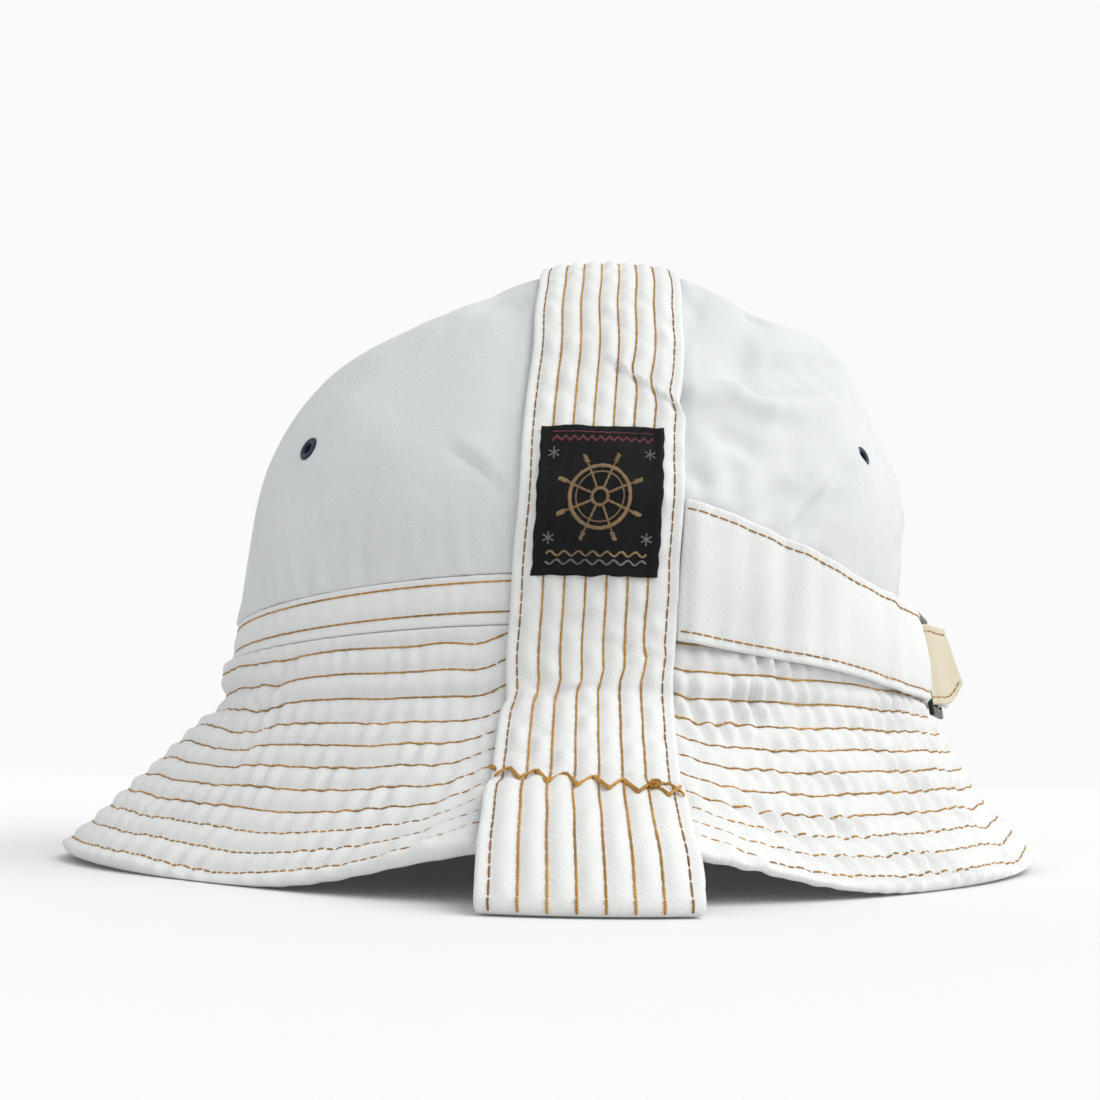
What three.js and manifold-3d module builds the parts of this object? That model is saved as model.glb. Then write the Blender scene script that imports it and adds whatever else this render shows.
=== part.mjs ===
// Sailor cap of white cotton twill: a row-stitched flared brim, a band, a crown in two panels,
// a strip over the crown from ear to ear with folded feet, and a cinch strap with a slide buckle.
// Millimetres. The front is -Y, the wearer's left is +X, and the cap stands on z = 0 with the
// middle of its outline at the origin.
import * as THREE from "three";
import Module from "manifold-3d";
import { mergeVertices } from "three/addons/utils/BufferGeometryUtils.js";

// Crown and brim
const HEAD_HALF_WIDTH = 86;
const HEAD_FRONT = 103;
const HEAD_REAR = 102;
const CREASE_HEIGHT = 54;
const SEAM_SIDE_RISE = 5;
const BAND_HEIGHT = 11;
const CROWN_HEIGHT = 112;
const CROWN_LEAN = 8.5;
const CROWN_SQUARENESS = 0.02;
const BRIM_OUT_SIDE = 45;
const BRIM_OUT_FRONT = 43;
const BRIM_OUT_REAR = 30;
const BRIM_SIDE_LIFT = 12;
const BRIM_TIP_LIFT = 4;
const BRIM_PINCH = 0.09;
const CROWN_WALL = 1.6;
const BAND_WALL = 2;
const BRIM_WALL = 2.6;
const DENT_DEPTH = 5;

// Strip from ear to ear
const STRIP_WIDTH = 38.5;
const STRIP_WALL = 2;
const STRIP_SEAT = 0.6;
const STRIP_FOOT_SHIFT = -1;
const STRIP_LEAN = 0.056;
const STRIP_OVERHANG = 10.5;
const FOOT_CLEARANCE = 0.5;
const FOOT_BEND = 0.6;
const STRIP_TURN_LENGTH = 31;
const STRIP_TURN_EASE = 9;
const TURN_GAP = 0.4;

// Label, on the left side of the strip
const LABEL_WIDTH = 28.6;
const LABEL_HEIGHT = 35;
const LABEL_FOOT_HEIGHT = 69;
const LABEL_WALL = 0.8;

// Cinch strap and slide buckle
const STRAP_WALL = 1.6;
const STRAP_END_WIDTH = 25;
const STRAP_EXTRA_WIDTH = 8.2;
const STRAP_HEIGHT = 58.6;
const STRAP_RISE = 12.6;
const STRAP_STAND = 2.2;
const STRAP_SEAT = 0.7;
const STRAP_LAP = 6;
const STRAP_TAIL = 2.5;
const STRAP_TAIL_TWIST = 3.5;
const STRAP_TAIL_RAISE = 7;
const STRAP_TAIL_TURNS = [0.15, 0.5, 1];
const STRAP_START_GAP = 0.7;
const BUCKLE_HEIGHT = 32;
const BUCKLE_PITCH = 11;
const BUCKLE_BAR = 2;
const BUCKLE_END_BAR = 3;
const BUCKLE_THICKNESS = 1.5;
const BUCKLE_STAND = 8.8;
const BUCKLE_SHIFT = 1;
const BUCKLE_TURN = 26;
const BUCKLE_TILT = 6;
const BUCKLE_EASE = 0.6;

// Eyelets
const EYELET_RADIUS = 3.4;
const EYELET_BARREL_RADIUS = 2.2;
const EYELET_BORE_RADIUS = 1.5;
const EYELET_FLANGE = 0.7;
const EYELET_HEIGHT = 108;
const EYELET_ANGLE = 52;

// Clearances and fineness
const GAP = 0.35;
const STEPS_AROUND = 72;
const EAR_CLUSTER = 0.4;
const BRIM_STEPS = 7;
const BAND_STEPS = 2;
const CROWN_STEPS = 8;
const STRIP_STEPS = 32;
const STRIP_COLUMNS = 4;
const FOOT_STEPS = 6;
const LABEL_STEPS = 5;
const LABEL_COLUMNS = 4;
const STRAP_STEPS = 4;
const EYELET_SIDES = 12;
const CORNER_SHARES = [0, 1 / 3, 2 / 3, 1];
const FOLD_SHARES = [1 / 4, 1 / 2, 3 / 4];
const LEVELS_BELOW_APEX = [0.7, 0.35];
const LINE_SAMPLES = 240;
const EDGE_SAMPLES = 6;
const SEARCH_ROUNDS = 40;
const RIDGE_MARGIN = 0.01;

// The rear of the brim is shorter than its front, so the head's axis lies behind the origin.
const AXIS_Y = (HEAD_FRONT + BRIM_OUT_FRONT - HEAD_REAR - BRIM_OUT_REAR) / 2;

// Sections of the brim, from its edge up to the crease. "up" is a share of the crease's height,
// "side", "front" and "rear" of the reaches past the head, and the rest of their named sizes.
const BRIM_SECTIONS = [
  { up: 0, side: 1, front: 1, rear: 1, pinch: 1, lift: 1, tip: 1, rise: 0 },
  { up: 0.28, side: 0.467, front: 0.65, rear: 0.6, pinch: 0.7, lift: 0.667, tip: 0.7, rise: 0 },
  { up: 0.63, side: 0.067, front: 0.26, rear: 0.24, pinch: 0.23, lift: 0.333, tip: 0.2, rise: 0.2 },
  { up: 0.8, side: 0.02, front: 0.08, rear: 0.06, pinch: 0.08, lift: 0.1, tip: 0, rise: 0.5 },
  { up: 1, side: 0, front: 0, rear: 0, pinch: 0, lift: 0, tip: 0, rise: 0.8 },
];

// Sections of the crown, from the top of the band to the apex. "up" is a share of the crown's
// height, "wide", "front" and "rear" of the head's sizes, "lean" and "square" of their named sizes.
const CROWN_SECTIONS = [
  { up: 0, wide: 1.017, front: 0.99, rear: 0.985, lean: 0, square: 0, rise: 1 },
  { up: 0.205, wide: 1.047, front: 0.981, rear: 0.971, lean: 0.12, square: 0.5, rise: 0.4 },
  { up: 0.42, wide: 0.971, front: 0.951, rear: 0.941, lean: 0.24, square: 1, rise: 0 },
  { up: 0.598, wide: 0.872, front: 0.883, rear: 0.873, lean: 0.41, square: 1, rise: 0 },
  { up: 0.75, wide: 0.756, front: 0.748, rear: 0.784, lean: 0.59, square: 1, rise: 0 },
  { up: 0.857, wide: 0.616, front: 0.495, rear: 0.588, lean: 0.76, square: 0, rise: 0 },
  { up: 0.946, wide: 0.42, front: 0.35, rear: 0.392, lean: 0.94, square: 0, rise: 0 },
  { up: 1, wide: 0.006, front: 0.005, rear: 0.005, lean: 1, square: 0, rise: 0 },
];

// Soft dents in the cloth. "around" is in degrees from the left ear towards the back, "up" is a
// share of the cap's height, "wide" is in degrees, "tall" a share of the height and "depth" a share
// of the dent depth, below zero where the cloth stands out.
const DENTS = [
  { around: 40, up: 0.75, wide: 15, tall: 0.075, depth: 0.8 },
  { around: 27, up: 0.66, wide: 13, tall: 0.035, depth: -0.35 },
  { around: 34, up: 0.5, wide: 7, tall: 0.05, depth: 0.4 },
  { around: -68, up: 0.87, wide: 22, tall: 0.055, depth: 0.9 },
  { around: -112, up: 0.84, wide: 16, tall: 0.06, depth: 0.5 },
  { around: 108, up: 0.8, wide: 18, tall: 0.07, depth: 0.6 },
  { around: 148, up: 0.72, wide: 14, tall: 0.06, depth: 0.6 },
  { around: -148, up: 0.64, wide: 13, tall: 0.07, depth: 0.5 },
  { around: -74, up: 0.24, wide: 12, tall: 0.025, depth: 0.5 },
  { around: -78, up: 0.29, wide: 13, tall: 0.018, depth: -0.35 },
  { around: 120, up: 0.17, wide: 9, tall: 0.06, depth: 0.35 },
  { around: -128, up: 0.15, wide: 10, tall: 0.06, depth: 0.35 },
];

// Stations of the cinch strap from the strip to the rear. "around" is in degrees from the ear, and
// "raise", "widen" and "stand" are shares of the rise, the extra width and the stand-off.
const STRAP_STATIONS = [
  { around: 23, raise: 0.79, widen: 0.83, stand: 0.1 },
  { around: 32, raise: 0.57, widen: 0.54, stand: 0.15 },
  { around: 41, raise: 0.36, widen: 0.25, stand: 0.2 },
  { around: 50, raise: 0.15, widen: 0, stand: 0.25 },
  { around: 60, raise: 0, widen: 0, stand: 0.25 },
  { around: 71, raise: 0, widen: 0, stand: 0.3 },
];

const COTTON = { color: 0xf2f3f2, roughness: 0.9, metalness: 0 };
const CROWN_COTTON = { color: 0xe3e9ec, roughness: 0.9, metalness: 0 };
const LABEL_CLOTH = { color: 0x17181b, roughness: 0.85, metalness: 0 };
const DARK_METAL = { color: 0x25282c, roughness: 0.35, metalness: 0.9 };
const EYELET_METAL = { color: 0x1b2733, roughness: 0.4, metalness: 0.7 };

const EDGE = 0;
const CREASE = BRIM_SECTIONS.length - 1;
const BAND_TOP = CREASE + 1;
const APEX = BAND_TOP + CROWN_SECTIONS.length - 1;
const CAP_HEIGHT = CREASE_HEIGHT + BAND_HEIGHT + CROWN_HEIGHT;
const HEART_HEIGHT = 0.4 * CAP_HEIGHT;
const LIFT_SHARPNESS = 12;
const TIP_SHARPNESS = 6;
const ROOM = 4 * CAP_HEIGHT;
const radians = THREE.MathUtils.degToRad;
const mix = THREE.MathUtils.lerp;

const { Manifold, Mesh: ManifoldMesh } = await loadManifold();

async function loadManifold() {
  const wasm = await Module();
  wasm.setup();
  return wasm;
}

// Sections with real sizes, in one list from the brim's edge to the apex.
function measuredSections() {
  const brim = BRIM_SECTIONS.map((row) => ({
    height: row.up * CREASE_HEIGHT,
    wide: HEAD_HALF_WIDTH + row.side * BRIM_OUT_SIDE,
    front: HEAD_FRONT + row.front * BRIM_OUT_FRONT,
    rear: HEAD_REAR + row.rear * BRIM_OUT_REAR,
    centre: AXIS_Y,
    pinch: row.pinch * BRIM_PINCH,
    lift: row.lift * BRIM_SIDE_LIFT,
    tip: row.tip * BRIM_TIP_LIFT,
    rise: row.rise * SEAM_SIDE_RISE,
  }));
  const crown = CROWN_SECTIONS.map((row) => ({
    height: CREASE_HEIGHT + BAND_HEIGHT + row.up * CROWN_HEIGHT,
    wide: row.wide * HEAD_HALF_WIDTH,
    front: row.front * HEAD_FRONT,
    rear: row.rear * HEAD_REAR,
    centre: AXIS_Y + row.lean * CROWN_LEAN,
    pinch: -row.square * CROWN_SQUARENESS,
    lift: 0,
    tip: 0,
    rise: row.rise * SEAM_SIDE_RISE,
  }));
  return [...brim, ...crown];
}

const SECTIONS = measuredSections();

function smoothCurve(a, b, c, d, k) {
  return b + 0.5 * k * (c - a + k * (2 * a - 5 * b + 4 * c - d + k * (3 * (b - c) + d - a)));
}

// The section at a level between the brim's edge and the apex, curved smoothly through the rows.
function sectionAt(level) {
  const low = Math.min(Math.max(Math.floor(level), 0), SECTIONS.length - 2);
  const row = (index) => SECTIONS[THREE.MathUtils.clamp(index, 0, SECTIONS.length - 1)];
  const rows = [row(low - 1), row(low), row(low + 1), row(low + 2)];
  const section = {};
  for (const key of Object.keys(SECTIONS[0])) {
    section[key] = smoothCurve(...rows.map((each) => each[key]), level - low);
  }
  return section;
}

function dentDepth(angle, height) {
  let depth = 0;
  for (const dent of DENTS) {
    const turn = angle - radians(dent.around);
    const aside = Math.atan2(Math.sin(turn), Math.cos(turn)) / radians(dent.wide);
    const above = (height / CAP_HEIGHT - dent.up) / dent.tall;
    depth += dent.depth * DENT_DEPTH * Math.exp(-aside * aside - above * above);
  }
  return depth;
}

// A point of the cap's outer surface. The angle runs from the left ear (+X) towards the back (+Y).
function capPoint(angle, level) {
  const at = sectionAt(level);
  const across = Math.cos(angle);
  const along = Math.sin(angle);
  const reach = along < 0 ? at.front : at.rear;
  const pinch = 1 - at.pinch * Math.sin(2 * angle) ** 2;
  const radius = pinch / Math.hypot(across / at.wide, along / reach);
  const sideLift = at.lift * Math.abs(across) ** LIFT_SHARPNESS;
  const tipLift = at.tip * Math.abs(along) ** TIP_SHARPNESS;
  const height = at.height + at.rise * across * across + sideLift + tipLift;
  const point = new THREE.Vector3(radius * across, at.centre + radius * along, height);
  const inward = new THREE.Vector3(0, at.centre, HEART_HEIGHT).sub(point).normalize();
  if (level < BAND_TOP) inward.z = 0;
  return point.addScaledVector(inward, dentDepth(angle, height));
}

function capNormal(angle, level) {
  const step = 0.001;
  const from = Math.min(level, APEX - step);
  const start = capPoint(angle, from);
  const around = capPoint(angle + step, from).sub(start);
  const upward = capPoint(angle, from + step).sub(start);
  return around.cross(upward).normalize();
}

function offCap(angle, level, distance) {
  return capPoint(angle, level).addScaledVector(capNormal(angle, level), distance);
}

// The level of the outer surface that has a given height at an angle.
function levelAtHeight(angle, height) {
  let low = EDGE;
  let high = APEX;
  for (let round = 0; round < SEARCH_ROUNDS; round += 1) {
    const middle = (low + high) / 2;
    if (capPoint(angle, middle).z < height) low = middle;
    else high = middle;
  }
  return (low + high) / 2;
}

function levelPast(level, distance) {
  const step = 0.01;
  const pace = capPoint(0, level).distanceTo(capPoint(0, level + step)) / step;
  return level + distance / pace;
}

function signedVolume(points, faces) {
  let volume = 0;
  for (const [a, b, c] of faces) {
    volume += points[a].dot(points[b].clone().cross(points[c]));
  }
  return volume / 6;
}

function geometryFrom(points, faces) {
  const outward = signedVolume(points, faces) > 0;
  const index = faces.flatMap(([a, b, c]) => (outward ? [a, b, c] : [a, c, b]));
  const geometry = new THREE.BufferGeometry();
  const flat = points.flatMap((point) => [point.x, point.y, point.z]);
  geometry.setAttribute("position", new THREE.Float32BufferAttribute(flat, 3));
  geometry.setIndex(index);
  return geometry;
}

// A closed wall between two grids of points. A ring joins its last column to its first, and a
// domed ring ends in a pole on each side instead of a rim.
function wallBetween(outer, inner, { ring = false, poles = null } = {}) {
  const rows = outer.length;
  const columns = outer[0].length;
  const points = [...outer.flat(), ...inner.flat()];
  const faces = [];
  const outerAt = (i, j) => i * columns + (j % columns);
  const innerAt = (i, j) => rows * columns + outerAt(i, j);
  const quad = (a, b, c, d) => faces.push([a, b, c], [a, c, d]);
  const spans = ring ? columns : columns - 1;
  for (let i = 0; i < rows - 1; i += 1) {
    for (let j = 0; j < spans; j += 1) {
      quad(outerAt(i, j), outerAt(i, j + 1), outerAt(i + 1, j + 1), outerAt(i + 1, j));
      quad(innerAt(i, j), innerAt(i + 1, j), innerAt(i + 1, j + 1), innerAt(i, j + 1));
    }
    if (!ring) {
      quad(outerAt(i, 0), outerAt(i + 1, 0), innerAt(i + 1, 0), innerAt(i, 0));
      const last = columns - 1;
      quad(outerAt(i, last), innerAt(i, last), innerAt(i + 1, last), outerAt(i + 1, last));
    }
  }
  const top = rows - 1;
  for (let j = 0; j < spans; j += 1) {
    quad(outerAt(0, j), innerAt(0, j), innerAt(0, j + 1), outerAt(0, j + 1));
    if (!poles) quad(outerAt(top, j), outerAt(top, j + 1), innerAt(top, j + 1), innerAt(top, j));
  }
  if (poles) {
    const pole = points.length;
    points.push(poles.outer, poles.inner);
    for (let j = 0; j < spans; j += 1) {
      faces.push([outerAt(top, j), outerAt(top, j + 1), pole]);
      faces.push([innerAt(top, j + 1), innerAt(top, j), pole + 1]);
    }
  }
  return geometryFrom(points, faces);
}

function solid(geometry) {
  const bare = geometry.clone();
  bare.deleteAttribute("normal");
  bare.deleteAttribute("uv");
  const merged = mergeVertices(bare);
  const vertProperties = new Float32Array(merged.attributes.position.array);
  const triVerts = new Uint32Array(merged.index.array);
  return new Manifold(new ManifoldMesh({ numProp: 3, vertProperties, triVerts }));
}

function meshed(shape) {
  const { vertProperties, triVerts } = shape.getMesh();
  const geometry = new THREE.BufferGeometry();
  geometry.setAttribute("position", new THREE.BufferAttribute(new Float32Array(vertProperties), 3));
  geometry.setIndex(new THREE.BufferAttribute(new Uint32Array(triVerts), 1));
  return geometry;
}

// The cloth that rests is flat on the table.
function flattened(geometry) {
  const below = new THREE.BoxGeometry(ROOM, ROOM, ROOM).translate(0, 0, -ROOM / 2);
  return meshed(solid(geometry).subtract(solid(below)));
}

// Steps round the cap lie closer together at the ears, where the brim lifts.
function ringAngles() {
  return Array.from({ length: STEPS_AROUND }, (_, i) => {
    const even = (2 * Math.PI * i) / STEPS_AROUND;
    return even - (EAR_CLUSTER / 2) * Math.sin(2 * even);
  });
}

function ringWall(levels, wall) {
  const angles = ringAngles();
  const outer = levels.map((level) => angles.map((angle) => offCap(angle, level, 0)));
  const inner = levels.map((level) => angles.map((angle) => offCap(angle, level, -wall)));
  return { outer, inner };
}

function evenly(from, to, count) {
  return Array.from({ length: count + 1 }, (_, i) => mix(from, to, i / count));
}

function brim() {
  const levels = evenly(EDGE, levelPast(CREASE, -GAP / 2), BRIM_STEPS);
  const { outer, inner } = ringWall(levels, BRIM_WALL);
  return flattened(wallBetween(outer, inner, { ring: true }));
}

function crownBand() {
  const levels = evenly(levelPast(CREASE, GAP / 2), levelPast(BAND_TOP, -GAP / 2), BAND_STEPS);
  const { outer, inner } = ringWall(levels, BAND_WALL);
  return wallBetween(outer, inner, { ring: true });
}

function stripMiddle(height) {
  return AXIS_Y + STRIP_FOOT_SHIFT + STRIP_LEAN * height;
}

function eyeletPlaces() {
  const places = [];
  for (const side of [1, -1]) {
    for (const end of [-1, 1]) {
      const bearing = radians(EYELET_ANGLE);
      const angle = side > 0 ? end * bearing : Math.PI - end * bearing;
      const level = levelAtHeight(angle, EYELET_HEIGHT);
      const name = `eyelet_${side > 0 ? "left" : "right"}_${end < 0 ? "front" : "rear"}`;
      places.push({ name, point: capPoint(angle, level), normal: capNormal(angle, level) });
    }
  }
  return places;
}

function aimed(geometry, point, direction) {
  const turn = new THREE.Quaternion().setFromUnitVectors(new THREE.Vector3(0, 1, 0), direction);
  return geometry.applyQuaternion(turn).translate(point.x, point.y, point.z);
}

const DRILL_LENGTH = 8 * CROWN_WALL;

// The whole crown, with its eyelet holes, as one wall that the seam under the strip then parts.
function crownDome() {
  const lower = evenly(levelPast(BAND_TOP, GAP / 2), APEX - 1, CROWN_STEPS);
  const levels = [...lower, ...LEVELS_BELOW_APEX.map((below) => APEX - below)];
  const { outer, inner } = ringWall(levels, CROWN_WALL);
  const apex = new THREE.Vector3(0, SECTIONS[APEX].centre, SECTIONS[APEX].height);
  const poles = { outer: apex, inner: apex.clone().setZ(apex.z - CROWN_WALL) };
  let dome = solid(wallBetween(outer, inner, { ring: true, poles }));
  for (const { point, normal } of eyeletPlaces()) {
    const radius = EYELET_BARREL_RADIUS + GAP;
    const drill = new THREE.CylinderGeometry(radius, radius, DRILL_LENGTH, EYELET_SIDES);
    dome = dome.subtract(solid(aimed(drill, point, normal)));
  }
  return dome;
}

function crownPanel(dome, end) {
  const lean = Math.atan(STRIP_LEAN);
  const half = new THREE.BoxGeometry(ROOM, ROOM, ROOM).translate(0, end * (ROOM / 2 + GAP / 2), 0);
  half.rotateX(-lean).translate(0, stripMiddle(0), 0);
  return meshed(dome.intersect(solid(half)));
}

// The line on the cap, on one side, at a constant distance from the middle plane of the strip. It
// runs from the brim's edge to the crown's ridge.
function stripLine(side, aside) {
  const line = [];
  for (let i = 0; i <= LINE_SAMPLES; i += 1) {
    const level = (APEX * i) / LINE_SAMPLES;
    let low = -Math.PI / 2;
    let high = Math.PI / 2;
    for (let round = 0; round < SEARCH_ROUNDS; round += 1) {
      const middle = (low + high) / 2;
      const point = capPoint(side > 0 ? middle : Math.PI - middle, level);
      if (point.y < stripMiddle(point.z) + aside) low = middle;
      else high = middle;
    }
    const point = capPoint(side > 0 ? low : Math.PI - low, level);
    if (Math.PI / 2 - Math.abs(low) < RIDGE_MARGIN) {
      line.push(point.setX(0));
      break;
    }
    line.push(point);
  }
  return line;
}

function curveLength(line) {
  let length = 0;
  for (let i = 1; i < line.length; i += 1) length += line[i].distanceTo(line[i - 1]);
  return length;
}

// A copy of a line of points with even steps.
function evenSteps(line, count) {
  const pace = curveLength(line) / count;
  const even = [line[0].clone()];
  let covered = 0;
  for (let i = 1; i < line.length; i += 1) {
    const span = line[i].distanceTo(line[i - 1]);
    while (span > 0 && even.length < count && covered + span >= pace * even.length) {
      even.push(line[i - 1].clone().lerp(line[i], (pace * even.length - covered) / span));
    }
    covered += span;
  }
  even.push(line[line.length - 1].clone());
  return even;
}

// The free end of the strip past the brim's edge, down to the table.
function stripFoot(line) {
  const edge = line[0];
  const outward = edge.clone().sub(line[EDGE_SAMPLES]).normalize();
  const reach = Math.sign(edge.x) * STRIP_OVERHANG;
  const floor = new THREE.Vector3(edge.x + reach, edge.y, FOOT_CLEARANCE);
  const bend = edge.clone().addScaledVector(outward, FOOT_BEND * STRIP_OVERHANG);
  return new THREE.QuadraticBezierCurve3(floor, bend, edge).getPoints(FOOT_STEPS).slice(0, -1);
}

// A column of the strip's bed from the left foot over the crown to the right foot.
function stripBed(aside) {
  const [left, right] = [1, -1].map((side) => {
    const line = stripLine(side, aside);
    return [...stripFoot(line), ...evenSteps(line, STRIP_STEPS)];
  });
  return [...left, ...right.reverse().slice(1)];
}

function normalsOf(grid) {
  return grid.map((column, j) =>
    column.map((_, i) => {
      const ahead = column[Math.min(i + 1, column.length - 1)];
      const along = ahead.clone().sub(column[Math.max(i - 1, 0)]);
      const next = grid[Math.min(j + 1, grid.length - 1)][i];
      const across = next.clone().sub(grid[Math.max(j - 1, 0)][i]);
      return across.cross(along).normalize();
    }),
  );
}

function runsFromFeet(bed) {
  const length = curveLength(bed);
  let run = 0;
  return bed.map((point, i) => {
    if (i > 0) run += point.distanceTo(bed[i - 1]);
    return Math.min(run, length - run);
  });
}

// Middle of the strip's wall along one column: each foot is folded back under itself as far as
// the tack, over a given number of the bed's points.
function foldedColumn(bed, normals, turned) {
  const seat = STRIP_SEAT + STRIP_WALL / 2;
  const lap = STRIP_WALL + TURN_GAP;
  const runs = runsFromFeet(bed);
  const turnEnd = STRIP_TURN_LENGTH + STRIP_TURN_EASE;
  const upper = bed.map((point, i) => {
    const single = THREE.MathUtils.smoothstep(runs[i], STRIP_TURN_LENGTH, turnEnd);
    return point.clone().addScaledVector(normals[i], seat + lap * (1 - single));
  });
  const fold = (end, before, indices) => {
    const forward = upper[end].clone().sub(upper[before]).normalize();
    const centre = upper[end].clone().addScaledVector(normals[end], -lap / 2);
    const bend = FOLD_SHARES.map((share) =>
      centre
        .clone()
        .addScaledVector(normals[end], (lap / 2) * Math.cos(Math.PI * share))
        .addScaledVector(forward, (lap / 2) * Math.sin(Math.PI * share)),
    );
    return [...bend, ...indices.map((i) => upper[i].clone().addScaledVector(normals[i], -lap))];
  };
  const last = upper.length - 1;
  const firstPoints = Array.from({ length: turned }, (_, i) => i);
  const lastPoints = firstPoints.map((i) => last - i);
  return [...fold(0, 1, firstPoints).reverse(), ...upper, ...fold(last, last - 1, lastPoints)];
}

// A wall of one thickness whose middle follows a grid of points.
function clothWall(grid, wall) {
  const facing = normalsOf(grid);
  const moved = (point, normal, amount) => point.clone().addScaledVector(normal, amount);
  const shift = (amount) =>
    grid.map((column, j) => column.map((point, i) => moved(point, facing[j][i], amount)));
  return wallBetween(shift(wall / 2), shift(-wall / 2));
}

function overStrip() {
  const asides = evenly(-STRIP_WIDTH / 2, STRIP_WIDTH / 2, STRIP_COLUMNS);
  const beds = asides.map((aside) => stripBed(aside));
  const normals = normalsOf(beds);
  const runs = runsFromFeet(beds[STRIP_COLUMNS / 2]);
  const turned = runs.filter((run) => run < STRIP_TURN_LENGTH - 1).length / 2;
  const middle = beds.map((bed, j) => foldedColumn(bed, normals[j], turned));
  return flattened(clothWall(middle, STRIP_WALL));
}

function label() {
  const asides = evenly(-LABEL_WIDTH / 2, LABEL_WIDTH / 2, LABEL_COLUMNS);
  const heights = evenly(LABEL_FOOT_HEIGHT, LABEL_FOOT_HEIGHT + LABEL_HEIGHT, LABEL_STEPS);
  const place = (aside, height, distance) => {
    let angle = 0;
    for (let round = 0; round < SEARCH_ROUNDS; round += 1) {
      const point = capPoint(angle, levelAtHeight(angle, height));
      angle += (stripMiddle(height) + aside - point.y) / HEAD_HALF_WIDTH;
    }
    return offCap(angle, levelAtHeight(angle, height), distance);
  };
  const bottom = STRIP_SEAT + STRIP_WALL + GAP;
  const row = (height, distance) => asides.map((aside) => place(aside, height, distance));
  const sheet = (distance) => heights.map((height) => row(height, distance));
  return wallBetween(sheet(bottom + LABEL_WALL), sheet(bottom));
}

function buckleFrame() {
  const turn = radians(BUCKLE_TURN);
  const tilt = radians(BUCKLE_TILT);
  const across = new THREE.Vector3(Math.cos(turn), -Math.sin(turn), 0);
  const level = new THREE.Vector3(Math.sin(turn), Math.cos(turn), 0);
  const upward = new THREE.Vector3(0, 0, Math.cos(tilt)).addScaledVector(level, -Math.sin(tilt));
  const outward = across.clone().cross(upward).negate();
  const rear = capPoint(Math.PI / 2, levelAtHeight(Math.PI / 2, STRAP_HEIGHT));
  const centre = rear.add(new THREE.Vector3(BUCKLE_SHIFT, BUCKLE_STAND, 0));
  return { across, outward, upward, centre };
}

const FRAME = buckleFrame();

function atBuckle(aside, out, up) {
  return FRAME.centre
    .clone()
    .addScaledVector(FRAME.across, aside)
    .addScaledVector(FRAME.outward, out)
    .addScaledVector(FRAME.upward, up);
}

function roundedRectangle(halfWidth, halfHeight, corner) {
  const points = [];
  const corners = [[0, 1, 1], [1, -1, 1], [2, -1, -1], [3, 1, -1]];
  for (const [quarter, x, y] of corners) {
    for (const share of CORNER_SHARES) {
      const angle = (Math.PI / 2) * (quarter + share);
      const out = x * (halfWidth - corner) + corner * Math.cos(angle);
      const up = y * (halfHeight - corner) + corner * Math.sin(angle);
      points.push(new THREE.Vector2(out, up));
    }
  }
  return points;
}

function buckle() {
  const halfWidth = BUCKLE_PITCH + BUCKLE_BAR / 2;
  const halfHeight = BUCKLE_HEIGHT / 2;
  const frame = new THREE.Shape(roundedRectangle(halfWidth, halfHeight, BUCKLE_BAR));
  const slotHalfWidth = (BUCKLE_PITCH - BUCKLE_BAR) / 2;
  for (const side of [-1, 1]) {
    const slot = roundedRectangle(slotHalfWidth, halfHeight - BUCKLE_END_BAR, BUCKLE_BAR / 4);
    const shift = (side * BUCKLE_PITCH) / 2;
    frame.holes.push(new THREE.Path(slot.map(({ x, y }) => new THREE.Vector2(x + shift, y))));
  }
  const options = { depth: BUCKLE_THICKNESS, bevelEnabled: false };
  const geometry = new THREE.ExtrudeGeometry(frame, options);
  const sideways = FRAME.across.clone().negate();
  const basis = new THREE.Matrix4().makeBasis(sideways, FRAME.upward, FRAME.outward);
  geometry.translate(0, 0, -BUCKLE_THICKNESS / 2).applyMatrix4(basis);
  return geometry.translate(...FRAME.centre.toArray());
}

// A strap is a wall along pairs of points, one pair at its lower and one at its upper edge.
function strapWall(stations) {
  const steps = STRAP_STEPS * (stations.length - 1);
  const [low, high] = ["low", "high"].map((edge) => {
    const through = stations.map((station) => station[edge]);
    return new THREE.CatmullRomCurve3(through, false, "centripetal").getPoints(steps);
  });
  const middle = low.map((point, i) => point.clone().lerp(high[i], 0.5));
  return clothWall([low, middle, high], STRAP_WALL);
}

function capStation(side, { around, raise, widen, stand }) {
  const bearing = radians(around);
  const angle = side > 0 ? bearing : Math.PI - bearing;
  const middle = STRAP_HEIGHT + raise * STRAP_RISE;
  const halfWidth = (STRAP_END_WIDTH + widen * STRAP_EXTRA_WIDTH) / 2;
  const distance = STRAP_SEAT + stand * STRAP_STAND + STRAP_WALL / 2;
  const place = (height) => {
    const point = capPoint(angle, levelAtHeight(angle, height));
    const outward = new THREE.Vector3(Math.cos(angle), Math.sin(angle), 0);
    return point.addScaledVector(outward, distance);
  };
  return { low: place(middle - halfWidth), high: place(middle + halfWidth) };
}

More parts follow.
